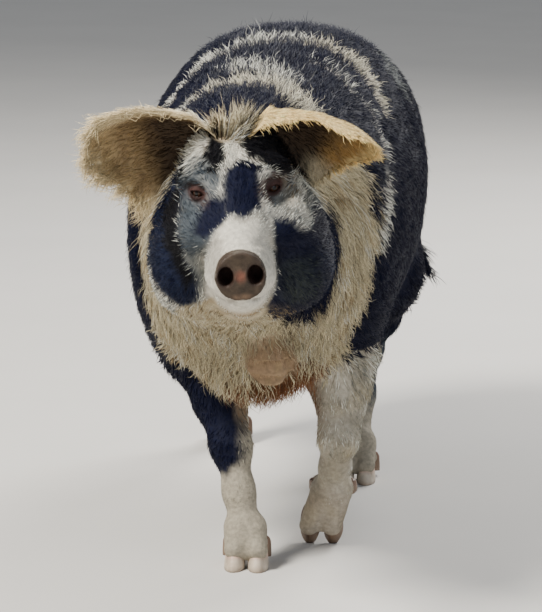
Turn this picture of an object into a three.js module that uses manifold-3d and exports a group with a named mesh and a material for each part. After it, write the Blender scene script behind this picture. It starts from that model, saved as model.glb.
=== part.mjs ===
// A domestic pig of a black-and-white, lop-eared, hairy breed, walking, life size.
// Millimetres, +Z up, nose towards -Y, +X on the pig's left. The solids reach out to the tips of the coat.
// The whole body is one smooth distance field, which is meshed part by part and parted by thin cuts.
import * as THREE from "three";
import { mergeVertices } from "three/addons/utils/BufferGeometryUtils.js";
import Module from "manifold-3d";

const wasm = await Module();
wasm.setup();

const at = (x, y, z) => new THREE.Vector3(x, y, z);
const { clamp, lerp, degToRad } = THREE.MathUtils;
const SIDES = { left: 1, right: -1 };

// ---------------------------------------------------------------- sizes

const CENTRE = at(0, 208, 0); // brings the middle of the pig's length over the origin
const GAP = 0.5; // the thin cut between neighbouring parts
const EAR_GAP = 0.8; // the room round an ear's root
const WELD = 0.02; // vertices nearer than this are one

// Stations of the trunk and neck, nose end first: how far back, the sideways middle, back line, belly
// line and half width.
const SPINE = [
  { y: -690, middle: -12, top: 712, bottom: 450, half: 118 },
  { y: -600, middle: -12, top: 726, bottom: 385, half: 152 },
  { y: -500, middle: -8, top: 742, bottom: 322, half: 186 },
  { y: -390, middle: -4, top: 758, bottom: 282, half: 213 },
  { y: -270, middle: 0, top: 768, bottom: 264, half: 230 },
  { y: -90, middle: 0, top: 788, bottom: 256, half: 243 },
  { y: 90, middle: 0, top: 803, bottom: 264, half: 248 },
  { y: 210, middle: 0, top: 799, bottom: 302, half: 236 },
  { y: 310, middle: 0, top: 782, bottom: 356, half: 214 },
  { y: 400, middle: 0, top: 738, bottom: 430, half: 172 },
];
const NECK_END = -750;
const RUMP_END = 476;
const WIDEST_LEVEL = 0.53; // share of the trunk's depth at which it is widest
const SECTION_POWER = 2.15;

// Muscles that stand out of the trunk. A paired form is there on both sides, and soft is the width of
// its join.
const MUSCLES = {
  shoulder: { place: at(112, -330, 424), radii: at(84, 112, 156), soft: 50, paired: true },
  ham: { place: at(114, 352, 500), radii: at(104, 134, 196), soft: 60, paired: true },
  hip: { place: at(90, 205, 640), radii: at(90, 110, 90), soft: 80, paired: true },
  brisket: { place: at(0, -470, 360), radii: at(86, 70, 80), soft: 60 },
};

// The head's own frame: origin in the middle of the snout disc, +Y back to the neck, +Z up.
const HEAD = { snout: at(19, -950, 559), yaw: 5.5, pitch: 9, roll: 4, soft: 55 };
const HEAD_FORMS = {
  discBack: { place: at(0, 30, -2), radii: at(33, 34, 33), soft: 24 },
  muzzle: { from: at(0, 62, 4), to: at(0, 150, 30), radius: [40, 58], soft: 22 },
  lowerJaw: { from: at(0, 40, -36), to: at(0, 170, -74), radius: [28, 52], soft: 26 },
  forehead: { place: at(0, 225, 70), radii: at(84, 96, 68), soft: 34 },
  poll: { place: at(0, 288, 98), radii: at(66, 58, 50), soft: 34 },
  upperLip: { place: at(29, 92, -22), radii: at(25, 56, 26), soft: 24, paired: true },
  brow: { place: at(56, 196, 92), radii: at(27, 40, 21), soft: 22, paired: true },
  cheekbone: { place: at(68, 178, 22), radii: at(42, 66, 46), soft: 34, paired: true },
  jowl: { place: at(82, 214, -52), radii: at(58, 82, 76), soft: 40, paired: true },
  eyeHollow: { place: at(72, 162, 76), radii: at(18, 22, 13), soft: 18, paired: true, hollow: true },
  throat: { place: at(0, 262, -60), radii: at(112, 96, 92), soft: 50 },
  leftEarRoot: { place: at(37, 256, 128), radii: at(24, 30, 26), soft: 26 },
  rightEarRoot: { place: at(-37, 256, 115), radii: at(24, 30, 26), soft: 26 },
};
const HEAD_CUT = { place: at(0, 292, 20), normal: at(0, 1, 0.12) };
const SNOUT_CUT = { place: at(0, 24, 0), normal: at(0, 1, 0) };
const SHOULDER_CUT = { place: at(0, -430, 500), normal: at(0, 1, 0.3) };

const DISC = { radius: 37, thick: 20, soft: 6 };
const NOSTRIL = { apart: 23, up: 2, radii: at(11, 22, 14), soft: 5 };
const EYE = { place: at(51, 180, 75), radius: 13 };
const SOCKET = { radii: at(14, 30, 10), forward: 21.6, up: 1, turn: 32 };

// A limb's joints. A foot on tip toe has its claws turned down until their tips touch the floor.
const FORELEGS = {
  right: {
    elbow: at(-86, -348, 318),
    knee: at(-46, -420, 190),
    fetlock: at(-20, -454, 62),
    foot: at(-17, -472, 0),
    region: { centre: at(-108, -408, 130), radii: at(150, 165, 222) },
  },
  left: {
    elbow: at(128, -332, 318),
    knee: at(124, -382, 198),
    fetlock: at(110, -326, 98),
    foot: at(91, -302, 0),
    region: { centre: at(142, -345, 130), radii: at(142, 165, 228) },
    tipToe: true,
  },
};
const HINDLEGS = {
  right: {
    hip: at(-118, 330, 520),
    stifle: at(-150, 232, 372),
    hock: at(-126, 424, 226),
    fetlock: at(-128, 418, 66),
    foot: at(-129, 402, 0),
    region: { centre: at(-158, 352, 170), radii: at(152, 225, 268) },
  },
  left: {
    hip: at(118, 330, 520),
    stifle: at(160, 140, 372),
    hock: at(130, 262, 216),
    fetlock: at(122, 152, 66),
    foot: at(121, 128, 0),
    region: { centre: at(162, 230, 170), radii: at(156, 225, 268) },
  },
};
const FORE_RADII = { elbow: 58, forearm: 46, knee: 32.5, cannon: 23.5, fetlock: 26 };
const HIND_RADII = { hip: 118, thigh: 72, stifle: 70, shank: 52, hock: 31, cannon: 22.5, fetlock: 26 };
const TENDON = { from: at(0, 34, 6), heel: at(0, 24, 16), radius: [40, 19], soft: 30 };
const LEG_SOFT = { fore: 24, hind: 28, thigh: 50, foot: 12, foreToTrunk: 34, hindToTrunk: 40 };

// Feet: two toes and two heels run from the fetlock to the claws and the dewclaws.
const TOE = { apart: 18.5, knuckle: 10, knuckleRadius: 25, radius: 19, back: 2, up: 34, soft: 9 };
const HEEL = { apart: 22, back: 22, up: 34, knuckleRadius: 24, radius: 17, soft: 8 };
const TIP_TOE = {
  lean: 62,
  toe: at(0, 34, 34),
  heel: at(0, 26, 6),
  claw: at(0, 27, -3),
  dewclaw: at(0, 34, -8),
};
const CLAW = { halfWidth: 17, length: 60, height: 32, lean: 0.5, toeIn: 3 };
const DEWCLAW = { halfWidth: 8.5, length: 22, height: 30, lean: -0.1, apart: 31, back: 30, up: 9 };
const DEWCLAW_TILT = { flat: -8, tipToe: 40 };
const CLAW_SHAPE = { rings: 3, around: 8, taper: 0.16, point: 0.32, flatSide: 0.9, slope: 0.16 };
const FLESH_FLOOR = 6; // the flesh ends this far over the floor, and only the claws go on down

const TAIL = [
  { place: at(0, 440, 655), radius: 24 },
  { place: at(14, 498, 622), radius: 17 },
  { place: at(62, 524, 566), radius: 12.5 },
  { place: at(120, 528, 486), radius: 10 },
  { place: at(168, 524, 404), radius: 12 },
  { place: at(206, 518, 344), radius: 14 },
  { place: at(236, 512, 306), radius: 5 },
];

// An ear is a leaf-shaped sheet rolled into a half pipe, in the head's frame. Its middle line leaves the
// root at the angles sweep (back) and lift, sags on the way out, and its hollow side faces where face
// points. cup is the angle that it wraps at the root and at the tip, and half its greatest half width
// along the bend.
const EARS = {
  left: {
    root: at(37, 252, 146),
    face: at(0.1, -0.6, -0.8),
    lift: -8,
    sag: 34,
    sweep: 0,
    length: 174,
    half: 76,
    cup: [170, 120],
    tipShare: 0.7,
  },
  right: {
    root: at(-37, 252, 133),
    face: at(0, -0.97, -0.24),
    lift: -3,
    sag: 30,
    sweep: 6,
    length: 176,
    half: 92,
    cup: [150, 74],
    tipShare: 0.8,
  },
};
const EAR = {
  rows: 9,
  columns: 8,
  thickness: 11,
  rootThickness: 1.5,
  rimThinning: 0.55,
  rootShare: 0.5,
  fullAt: 0.55,
  taperFrom: 0.68,
  hang: 0.42,
  curl: 50,
  curlFrom: 0.55,
  acrossGrowth: 60,
};

// Grid steps of the meshes.
const STEP = {
  leg: at(25, 25, 36),
  trunk: at(62, 62, 62),
  neck: at(54, 54, 54),
  head: at(23, 23, 23),
  snout: at(11, 11, 11),
};
const FACETS = { eye: [10, 7], socket: [10, 6], region: [15, 9], tail: 8 }; // round balls and tubes

// ---------------------------------------------------------------- the distance field

// Joins two distances with a fillet about k wide.
function blend(a, b, k) {
  const h = Math.max(k - Math.abs(a - b), 0) / k;
  return Math.min(a, b) - (h * h * k) / 4;
}

const carve = (a, b, k) => -blend(-a, b, k);

function ellipsoid(p, c, r) {
  const [x, y, z] = [(p.x - c.x) / r.x, (p.y - c.y) / r.y, (p.z - c.z) / r.z];
  const scaled = Math.hypot(x, y, z);
  return (scaled * (scaled - 1)) / Math.max(Math.hypot(x / r.x, y / r.y, z / r.z), Number.EPSILON);
}

function roundCone(p, a, b, radiusA, radiusB) {
  const [dx, dy, dz] = [b.x - a.x, b.y - a.y, b.z - a.z];
  const along = (p.x - a.x) * dx + (p.y - a.y) * dy + (p.z - a.z) * dz;
  const t = clamp(along / (dx * dx + dy * dy + dz * dz), 0, 1);
  const off = Math.hypot(p.x - a.x - t * dx, p.y - a.y - t * dy, p.z - a.z - t * dz);
  return off - lerp(radiusA, radiusB, t);
}

function chain(p, joints, k) {
  let d = Infinity;
  for (let i = 1; i < joints.length; i++) {
    const [a, b] = [joints[i - 1], joints[i]];
    d = blend(d, roundCone(p, a.place, b.place, a.radius, b.radius), k);
  }
  return d;
}

const mirrored = (v) => at(-v.x, v.y, v.z);
const between = (a, b, t) => a.clone().lerp(b, t);

// Adds a table of named forms to a field, or takes them from it where they are hollow.
function withForms(p, forms, field) {
  let d = field;
  for (const { place, radii, from, to, radius, soft, paired, hollow } of Object.values(forms))
    for (const q of paired ? [p, mirrored(p)] : [p]) {
      const form = place ? ellipsoid(q, place, radii) : roundCone(q, from, to, ...radius);
      d = hollow ? carve(d, form, soft) : blend(d, form, soft);
    }
  return d;
}

// A smooth curve through one value of the spine's stations, by cubic pieces.
function alongSpine(y, name) {
  const last = SPINE.length - 1;
  const next = SPINE.findIndex((s) => s.y > y);
  const from = next < 0 ? last - 1 : Math.max(next - 1, 0);
  const [a, b] = [SPINE[from], SPINE[from + 1]];
  const span = b.y - a.y;
  const slope = (n) => {
    const [before, after] = [SPINE[Math.max(n - 1, 0)], SPINE[Math.min(n + 1, last)]];
    return (after[name] - before[name]) / (after.y - before.y);
  };
  const t = clamp((y - a.y) / span, 0, 1);
  const [t2, t3] = [t * t, t * t * t];
  return (
    (2 * t3 - 3 * t2 + 1) * a[name] +
    (t3 - 2 * t2 + t) * span * slope(from) +
    (3 * t2 - 2 * t3) * b[name] +
    (t3 - t2) * span * slope(from + 1)
  );
}

// Trunk and neck: rounded sections across Y, closed by a dome at each end.
function torso(p) {
  const [first, last] = [SPINE[0].y, SPINE[SPINE.length - 1].y];
  const y = clamp(p.y, first, last);
  const [top, bottom, half] = ["top", "bottom", "half"].map((name) => alongSpine(y, name));
  const level = lerp(bottom, top, WIDEST_LEVEL);
  const x = p.x - alongSpine(y, "middle");
  const z = p.z - level;
  const end = Math.max((p.y - last) / (RUMP_END - last), (p.y - first) / (NECK_END - first), 0);
  const past = end < 1 && p.y > first && p.y < last ? 0 : end;
  const across = Math.abs(x) / half;
  const up = Math.abs(z) / (z > 0 ? top - level : level - bottom);
  const section = (across ** SECTION_POWER + up ** SECTION_POWER) ** (1 / SECTION_POWER);
  const scaled = Math.hypot(section, past);
  const reach = Math.hypot(x, z, p.y - y);
  return scaled < 0.2 ? -0.8 * half : reach * (1 - 1 / scaled);
}

const headFrame = new THREE.Matrix4()
  .makeRotationFromEuler(
    new THREE.Euler(degToRad(HEAD.pitch), degToRad(-HEAD.roll), degToRad(HEAD.yaw), "ZYX"),
  )
  .setPosition(HEAD.snout);
const intoHead = headFrame.clone().invert();

function foreleg(p, { elbow, knee, fetlock }) {
  const joints = [
    { place: elbow, radius: FORE_RADII.elbow },
    { place: between(elbow, knee, 0.45), radius: FORE_RADII.forearm },
    { place: knee, radius: FORE_RADII.knee },
    { place: between(knee, fetlock, 0.55), radius: FORE_RADII.cannon },
    { place: fetlock, radius: FORE_RADII.fetlock },
  ];
  return chain(p, joints, LEG_SOFT.fore);
}

function hindleg(p, { hip, stifle, hock, fetlock }) {
  const joints = [
    { place: stifle, radius: HIND_RADII.stifle },
    { place: between(stifle, hock, 0.5), radius: HIND_RADII.shank },
    { place: hock, radius: HIND_RADII.hock },
    { place: between(hock, fetlock, 0.5), radius: HIND_RADII.cannon },
    { place: fetlock, radius: HIND_RADII.fetlock },
  ];
  const thigh = roundCone(p, hip, stifle, HIND_RADII.hip, HIND_RADII.thigh);
  const leg = blend(thigh, chain(p, joints, LEG_SOFT.hind), LEG_SOFT.thigh);
  const calf = between(stifle, hock, 0.3).add(TENDON.from);
  return blend(leg, roundCone(p, calf, hock.clone().add(TENDON.heel), ...TENDON.radius), TENDON.soft);
}

const footFrame = ({ foot, tipToe }) =>
  new THREE.Matrix4().makeRotationX(tipToe ? degToRad(TIP_TOE.lean) : 0).setPosition(foot);

const besideFetlock = ({ fetlock }, side, apart, offset) =>
  fetlock.clone().add(offset).add(at(side * apart, 0, 0));

function toes(p, leg) {
  const frame = footFrame(leg);
  let d = Infinity;
  for (const side of Object.values(SIDES)) {
    const knuckle = besideFetlock(leg, side, TOE.knuckle, at(0, 0, 0));
    const inFoot = leg.tipToe ? TIP_TOE.toe : at(0, TOE.back, TOE.up);
    const toe = inFoot.clone().add(at(side * TOE.apart, 0, 0)).applyMatrix4(frame);
    const behind = leg.tipToe ? TIP_TOE.heel : at(0, HEEL.back, HEEL.up - leg.fetlock.z);
    const heel = besideFetlock(leg, side, HEEL.apart, behind);
    d = blend(d, roundCone(p, knuckle, toe, TOE.knuckleRadius, TOE.radius), TOE.soft);
    d = blend(d, roundCone(p, knuckle, heel, HEEL.knuckleRadius, HEEL.radius), HEEL.soft);
  }
  return d;
}

// The whole body but for the tail and the ears' leaves.
function body(p) {
  let d = withForms(p, MUSCLES, torso(p));
  for (const leg of Object.values(FORELEGS))
    d = blend(d, blend(foreleg(p, leg), toes(p, leg), LEG_SOFT.foot), LEG_SOFT.foreToTrunk);
  for (const leg of Object.values(HINDLEGS))
    d = blend(d, blend(hindleg(p, leg), toes(p, leg), LEG_SOFT.foot), LEG_SOFT.hindToTrunk);
  return blend(d, withForms(p.clone().applyMatrix4(intoHead), HEAD_FORMS, Infinity), HEAD.soft);
}

// The snout's disc stands out of the muzzle, with a nostril on each side.
function snoutField(p) {
  const q = p.clone().applyMatrix4(intoHead);
  const halfThick = DISC.thick / 2;
  const disc = Math.max(Math.hypot(q.x, q.z) - DISC.radius, Math.abs(q.y - halfThick) - halfThick);
  let d = blend(body(p), disc, DISC.soft);
  for (const side of Object.values(SIDES))
    d = carve(d, ellipsoid(q, at(side * NOSTRIL.apart, 0, NOSTRIL.up), NOSTRIL.radii), NOSTRIL.soft);
  return d;
}

// ---------------------------------------------------------------- meshing

// A closed mesh of a field inside a box of a frame: one vertex for each cell that the surface crosses.
function gridMesh(field, low, high, step, frame) {
  const n = ["x", "y", "z"].map((k) => Math.ceil((high[k] - low[k]) / step[k]) + 1);
  const index = (i, j, k) => (k * n[1] + j) * n[0] + i;
  const onRim = (i, j, k) => i * j * k === 0 || i === n[0] - 1 || j === n[1] - 1 || k === n[2] - 1;
  const values = new Float32Array(n[0] * n[1] * n[2]);
  const eachCell = (past, visit) => {
    for (let k = 0; k < n[2] - past; k++)
      for (let j = 0; j < n[1] - past; j++) for (let i = 0; i < n[0] - past; i++) visit(i, j, k);
  };
  eachCell(0, (i, j, k) => {
    const p = at(low.x + i * step.x, low.y + j * step.y, low.z + k * step.z).applyMatrix4(frame);
    values[index(i, j, k)] = onRim(i, j, k) ? Math.max(field(p), 1) : field(p);
  });
  const vertexOf = new Map();
  const vertices = [];
  eachCell(1, (i, j, k) => {
    const sum = at(0, 0, 0);
    let crossings = 0;
    const corner = (c) => [i + (c & 1), j + ((c >> 1) & 1), k + ((c >> 2) & 1)];
    for (let c = 0; c < 8; c++)
      for (const bit of [1, 2, 4].filter((b) => !(c & b))) {
        const [a, b] = [corner(c), corner(c | bit)];
        const [da, db] = [values[index(...a)], values[index(...b)]];
        if (da < 0 === db < 0) continue;
        sum.add(at(...a).lerp(at(...b), da / (da - db)));
        crossings++;
      }
    if (!crossings) return;
    const place = sum.divideScalar(crossings).multiply(step).add(low).applyMatrix4(frame);
    vertexOf.set(index(i, j, k), vertices.push(place) - 1);
  });
  const faces = [];
  const quad = (inside, ...corners) => {
    const v = inside ? corners : corners.reverse();
    const [p0, p1, p2, p3] = v.map((m) => vertices[m]);
    const short = p0.distanceToSquared(p2) < p1.distanceToSquared(p3) ? v : [...v.slice(1), v[0]];
    faces.push(short[0], short[1], short[2], short[0], short[2], short[3]);
  };
  eachCell(1, (i, j, k) => {
    const inside = values[index(i, j, k)] < 0;
    const crosses = (a, b, c) => inside !== values[index(i + a, j + b, k + c)] < 0;
    const cell = (a, b, c) => vertexOf.get(index(i - a, j - b, k - c));
    if (crosses(1, 0, 0)) quad(inside, cell(0, 1, 1), cell(0, 0, 1), cell(0, 0, 0), cell(0, 1, 0));
    if (crosses(0, 1, 0)) quad(inside, cell(1, 0, 1), cell(1, 0, 0), cell(0, 0, 0), cell(0, 0, 1));
    if (crosses(0, 0, 1)) quad(inside, cell(1, 1, 0), cell(0, 1, 0), cell(0, 0, 0), cell(1, 0, 0));
  });
  return { vertices, faces };
}

// Moves each vertex onto the field's surface, down its slope.
function settle({ vertices, faces }, field) {
  const [reach, most, rounds] = [0.5, 6, 2];
  const axes = [at(reach, 0, 0), at(0, reach, 0), at(0, 0, reach)];
  for (const v of vertices)
    for (let round = 0; round < rounds; round++) {
      const slope = at(...axes.map((a) => field(v.clone().add(a)) - field(v.clone().sub(a))));
      slope.divideScalar(2 * reach);
      v.addScaledVector(slope, -clamp(field(v) / Math.max(slope.lengthSq(), 0.05), -most, most));
    }
  return { vertices, faces };
}

function solidOf({ vertices, faces }) {
  const vertProperties = new Float32Array(vertices.flatMap((v) => [v.x, v.y, v.z]));
  const triVerts = new Uint32Array(faces);
  return new wasm.Manifold(new wasm.Mesh({ numProp: 3, vertProperties, triVerts }));
}

function biggest(solid) {
  return solid.decompose().sort((a, b) => b.volume() - a.volume())[0];
}

const world = new THREE.Matrix4();

function fieldSolid(field, low, high, step, frame = world) {
  return solidOf(settle(gridMesh(field, low, high, step, frame), field));
}

// A three.js geometry as a solid, with its vertices joined where they meet.
function geometrySolid(geometry, frame = world) {
  const turned = geometry.clone().applyMatrix4(frame);
  for (const name of ["normal", "uv"]) turned.deleteAttribute(name);
  const joined = mergeVertices(turned, WELD);
  const position = joined.getAttribute("position");
  const vertices = [];
  for (let i = 0; i < position.count; i++) vertices.push(at().fromBufferAttribute(position, i));
  const faces = [];
  for (let i = 0; i < joined.index.count; i += 3) {
    const [a, b, c] = [0, 1, 2].map((n) => joined.index.getX(i + n));
    if (a !== b && b !== c && c !== a) faces.push(a, b, c);
  }
  return solidOf({ vertices, faces });
}

// Everything on the side of a plane that its normal points to, from gap off it, as a big box.
function halfSpace({ place, normal }, gap = 0) {
  const size = 4000;
  const up = normal.clone().normalize();
  const turn = new THREE.Quaternion().setFromUnitVectors(at(0, 0, 1), up);
  const middle = place.clone().addScaledVector(up, size / 2 + gap);
  const frame = new THREE.Matrix4().compose(middle, turn, at(1, 1, 1));
  return geometrySolid(new THREE.BoxGeometry(size, size, size), frame);
}

const otherSide = ({ place, normal }) => ({ place, normal: normal.clone().negate() });
const ofHead = ({ place, normal }) => ({
  place: place.clone().applyMatrix4(headFrame),
  normal: normal.clone().transformDirection(headFrame),
});

function ball(place, radii, facets, frame = world) {
  const shape = new THREE.Matrix4().makeScale(radii.x, radii.y, radii.z).setPosition(place);
  return geometrySolid(new THREE.SphereGeometry(1, ...facets), frame.clone().multiply(shape));
}

// The faces between rings of vertices, one ring after another, and over both ends.
function loft(rings, around) {
  const faces = [];
  const ring = (r, a) => r * around + (a % around);
  for (let r = 1; r < rings; r++)
    for (let a = 0; a < around; a++) {
      faces.push(ring(r - 1, a), ring(r - 1, a + 1), ring(r, a + 1));
      faces.push(ring(r - 1, a), ring(r, a + 1), ring(r, a));
    }
  for (let a = 1; a < around - 1; a++) {
    faces.push(ring(0, 0), ring(0, a + 1), ring(0, a));
    faces.push(ring(rings - 1, 0), ring(rings - 1, a), ring(rings - 1, a + 1));
  }
  return faces;
}

// ---------------------------------------------------------------- claws

// A claw: D-shaped rings from the sole up to the coronet, flatter on the inner side, leaning as they rise.
function clawSolid({ halfWidth, length, height, lean }, side, grow, frame) {
  const { rings, around, taper, point, flatSide, slope } = CLAW_SHAPE;
  const vertices = [];
  for (let r = 0; r < rings; r++) {
    const up = r / (rings - 1);
    const shrink = 1 - taper * up * up;
    const lift = r === 0 ? -grow : r === rings - 1 ? grow : 0;
    for (let a = 0; a < around; a++) {
      const angle = (2 * Math.PI * a) / around;
      const [forward, sideways] = [-Math.cos(angle), Math.sin(angle)];
      const inner = sideways * side < 0 ? flatSide : 1;
      const pointed = forward < 0 ? 1 - point * forward * forward : 1;
      const x = (halfWidth * shrink * inner * pointed + grow) * sideways;
      const y = ((length / 2) * shrink + grow) * forward + lean * height * up;
      vertices.push(at(x, y, up * height * (1 - slope * forward) + lift).applyMatrix4(frame));
    }
  }
  return solidOf({ vertices, faces: loft(rings, around) });
}

// The four claws of a foot, each with the slightly larger solid that leaves room for it in the flesh.
function footClaws(leg, stance) {
  const found = [];
  for (const [where, side] of Object.entries({ inner: -stance, outer: stance })) {
    const turn = new THREE.Matrix4().makeRotationZ(degToRad(side * CLAW.toeIn));
    const place = (leg.tipToe ? TIP_TOE.claw : at(0, 0, 0)).clone().add(at(side * TOE.apart, 0, 0));
    const claw = footFrame(leg).multiply(turn.setPosition(place));
    const behind = leg.tipToe ? TIP_TOE.dewclaw : at(0, DEWCLAW.back, DEWCLAW.up - leg.fetlock.z);
    const tilt = degToRad(leg.tipToe ? DEWCLAW_TILT.tipToe : DEWCLAW_TILT.flat);
    const dewclaw = new THREE.Matrix4().makeRotationX(tilt);
    dewclaw.setPosition(besideFetlock(leg, side, DEWCLAW.apart, behind));
    const solids = (shape, frame) => [0, GAP].map((grow) => clawSolid(shape, side, grow, frame));
    found.push([`claw_${where}`, ...solids(CLAW, claw)]);
    found.push([`dewclaw_${where}`, ...solids(DEWCLAW, dewclaw)]);
  }
  return found;
}

// ---------------------------------------------------------------- ears and tail

// A point of an ear's sheet: s from root (0) to tip (1), t from its lower edge (-1) to its upper one (1),
// and lift off the sheet.
function earPoint(ear, s, t, lift) {
  const side = Math.sign(ear.root.x);
  const [sweep, leaving, sag] = [ear.sweep, ear.lift, ear.lift - ear.sag * s].map(degToRad);
  const outward = at(side * Math.cos(sweep), Math.sin(sweep), 0);
  const along = outward.clone().multiplyScalar(Math.cos(sag)).setZ(Math.sin(sag)).normalize();
  const hollow = ear.face.clone().addScaledVector(along, -ear.face.dot(along)).normalize();
  const across = at().crossVectors(along, hollow).multiplyScalar(side);
  const share = lerp(EAR.rootShare, 1, Math.sin((Math.PI / 2) * Math.min(s / EAR.fullAt, 1)));
  const past = Math.max(s - EAR.taperFrom, 0) / (1 - EAR.taperFrom);
  const half = ear.half * share * Math.sqrt(1 - past ** 2 * (1 - ear.tipShare ** 2));
  const cup = degToRad(lerp(...ear.cup, s));
  const radius = (2 * half) / cup;
  const turn = (t * cup) / 2 + degToRad(EAR.curl) * Math.max(t - EAR.curlFrom, 0) * s;
  return ear.root
    .clone()
    .addScaledVector(outward, ear.length * s * Math.cos(sag / 2))
    .add(at(0, 0, ear.length * s * Math.sin((leaving + sag) / 2)))
    .addScaledVector(across, (radius - lift) * Math.sin(turn))
    .addScaledVector(hollow, radius - half * EAR.hang - (radius - lift) * Math.cos(turn));
}

// The sheet as a closed solid: its outer face, its hollow face and the rim between them.
function earSolid(ear, grow = 0) {
  const { rows, columns } = EAR;
  const vertices = [];
  for (const face of [-1, 1])
    for (let i = 0; i <= rows; i++)
      for (let j = 0; j <= columns; j++) {
        const [s, t] = [i / rows, (2 * j) / columns - 1];
        const rim = 1 - EAR.rimThinning * Math.max(Math.abs(t) ** 3, s ** 4);
        const thick = (EAR.thickness / 2) * rim * lerp(EAR.rootThickness, 1, Math.min(3 * s, 1)) + grow;
        const rounded = 1 - 5 * Math.max(s - 0.75, 0) ** 2 * t * t;
        const out = s * (1 - 0.2 * s * s * t * t) - grow / ear.length;
        const over = t * rounded * (1 + grow / EAR.acrossGrowth);
        vertices.push(earPoint(ear, out, over, face * thick).applyMatrix4(headFrame));
      }
  const faces = [];
  const quad = (a, b, c, d) => faces.push(...(ear.root.x > 0 ? [a, c, b, a, d, c] : [a, b, c, a, c, d]));
  const id = (face, i, j) => (face * (rows + 1) + i) * (columns + 1) + j;
  for (let i = 0; i < rows; i++)
    for (let j = 0; j < columns; j++) {
      quad(id(0, i, j), id(0, i, j + 1), id(0, i + 1, j + 1), id(0, i + 1, j));
      quad(id(1, i, j), id(1, i + 1, j), id(1, i + 1, j + 1), id(1, i, j + 1));
    }
  for (let i = 0; i < rows; i++) {
    quad(id(0, i, 0), id(0, i + 1, 0), id(1, i + 1, 0), id(1, i, 0));
    quad(id(0, i, columns), id(1, i, columns), id(1, i + 1, columns), id(0, i + 1, columns));
  }
  for (let j = 0; j < columns; j++) {
    quad(id(0, 0, j), id(1, 0, j), id(1, 0, j + 1), id(0, 0, j + 1));
    quad(id(0, rows, j), id(0, rows, j + 1), id(1, rows, j + 1), id(1, rows, j));
  }
  return solidOf({ vertices, faces });
}

// A closed tube through the tail's places, with a ring at each and one between.
function tailSolid(grow = 0) {
  const curve = new THREE.CatmullRomCurve3(TAIL.map(({ place }) => place));
  const [around, rings] = [FACETS.tail, 2 * TAIL.length - 1];
  const vertices = [];
  for (let r = 0; r < rings; r++) {
    const [before, after] = [TAIL[Math.floor(r / 2)], TAIL[Math.ceil(r / 2)]];
    const radius = (before.radius + after.radius) / 2 + grow;
    const t = r / (rings - 1);
    const along = curve.getTangent(t);
    const side = at().crossVectors(along, at(0, 1, 0)).normalize();
    const up = at().crossVectors(along, side);
    const slide = r === 0 ? -2 : r === rings - 1 ? 2 : 0;
    for (let a = 0; a < around; a++) {
      const angle = (2 * Math.PI * a) / around;
      const v = curve.getPoint(t).addScaledVector(along, slide * grow);
      v.addScaledVector(side, radius * Math.cos(angle)).addScaledVector(up, radius * Math.sin(angle));
      vertices.push(v);
    }
  }
  return solidOf({ vertices, faces: loft(rings, around) });
}

// ---------------------------------------------------------------- the parts

const parts = new Map();
const add = (name, solid, slot) => parts.set(name, { solid, slot });
const legs = [FORELEGS, HINDLEGS].flatMap((pair) => Object.values(pair));
const legDome = ({ centre, radii }, grow) => ball(centre, radii.clone().addScalar(grow), FACETS.region);
const legRooms = legs.map(({ region }) => legDome(region, GAP));
const earRooms = Object.values(EARS).map((ear) => earSolid(ear, EAR_GAP).add(earSolid(ear)));
const aboveFloor = (height) => halfSpace({ place: at(0, 0, height), normal: at(0, 0, 1) });
const take = (solid, rooms) => rooms.reduce((left, room) => left.subtract(room), solid);

for (const [pair, kind] of [
  [FORELEGS, "foreleg"],
  [HINDLEGS, "hindleg"],
])
  for (const [side, stance] of Object.entries(SIDES)) {
    const leg = pair[side];
    const { centre, radii } = leg.region;
    const reach = radii.clone().addScalar(20);
    const low = centre.clone().sub(reach).setZ(-14);
    const flesh = fieldSolid(body, low, centre.clone().add(reach), STEP.leg);
    const claws = footClaws(leg, stance);
    for (const [name, claw] of claws)
      add(`${kind}_${side}_${name}`, claw.intersect(aboveFloor(0)), "claw");
    const kept = flesh.intersect(legDome(leg.region, 0)).intersect(aboveFloor(FLESH_FLOOR));
    add(`${kind}_${side}`, take(kept, claws.map(([, , room]) => room)), "coat_legs");
  }

for (const [side, ear] of Object.entries(EARS)) add(`ear_${side}`, earSolid(ear), "coat_ears");

let head = fieldSolid(body, at(-190, -24, -190), at(190, 350, 190), STEP.head, headFrame);
head = head.intersect(halfSpace(otherSide(ofHead(HEAD_CUT)), GAP / 2));
head = take(head.intersect(halfSpace(ofHead(SNOUT_CUT), GAP / 2)), earRooms);
for (const [name, side] of Object.entries(SIDES)) {
  const place = at(side * EYE.place.x, EYE.place.y, EYE.place.z);
  const eye = (grow) => ball(place, at(1, 1, 1).multiplyScalar(EYE.radius + grow), FACETS.eye, headFrame);
  const turn = new THREE.Matrix4().makeRotationZ(degToRad(side * SOCKET.turn));
  const forward = at(0, -SOCKET.forward, SOCKET.up);
  const ofEye = headFrame.clone().multiply(turn.setPosition(place));
  const socket = ball(forward, SOCKET.radii, FACETS.socket, ofEye);
  add(`eye_${name}`, eye(0), "eye");
  head = take(head, [eye(GAP), socket]);
}
add("head", head, "coat_head");

const snout = fieldSolid(snoutField, at(-70, -20, -70), at(70, 48, 70), STEP.snout, headFrame);
add("snout", snout.intersect(halfSpace(otherSide(ofHead(SNOUT_CUT)), GAP / 2)), "snout");

let neck = fieldSolid(body, at(-280, -800, 180), at(280, -330, 860), STEP.neck);
neck = neck.intersect(halfSpace(otherSide(SHOULDER_CUT), GAP / 2));
neck = neck.intersect(halfSpace(ofHead(HEAD_CUT), GAP / 2));
add("neck", take(neck, [...legRooms, ...earRooms]), "coat_body");

let trunk = fieldSolid(body, at(-300, -640, 120), at(300, 540, 860), STEP.trunk);
trunk = trunk.intersect(halfSpace(SHOULDER_CUT, GAP / 2));
add("trunk", take(trunk, [...legRooms, tailSolid(GAP)]), "coat_body");
add("tail", tailSolid(), "coat_tail");

// ---------------------------------------------------------------- the scene graph

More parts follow.
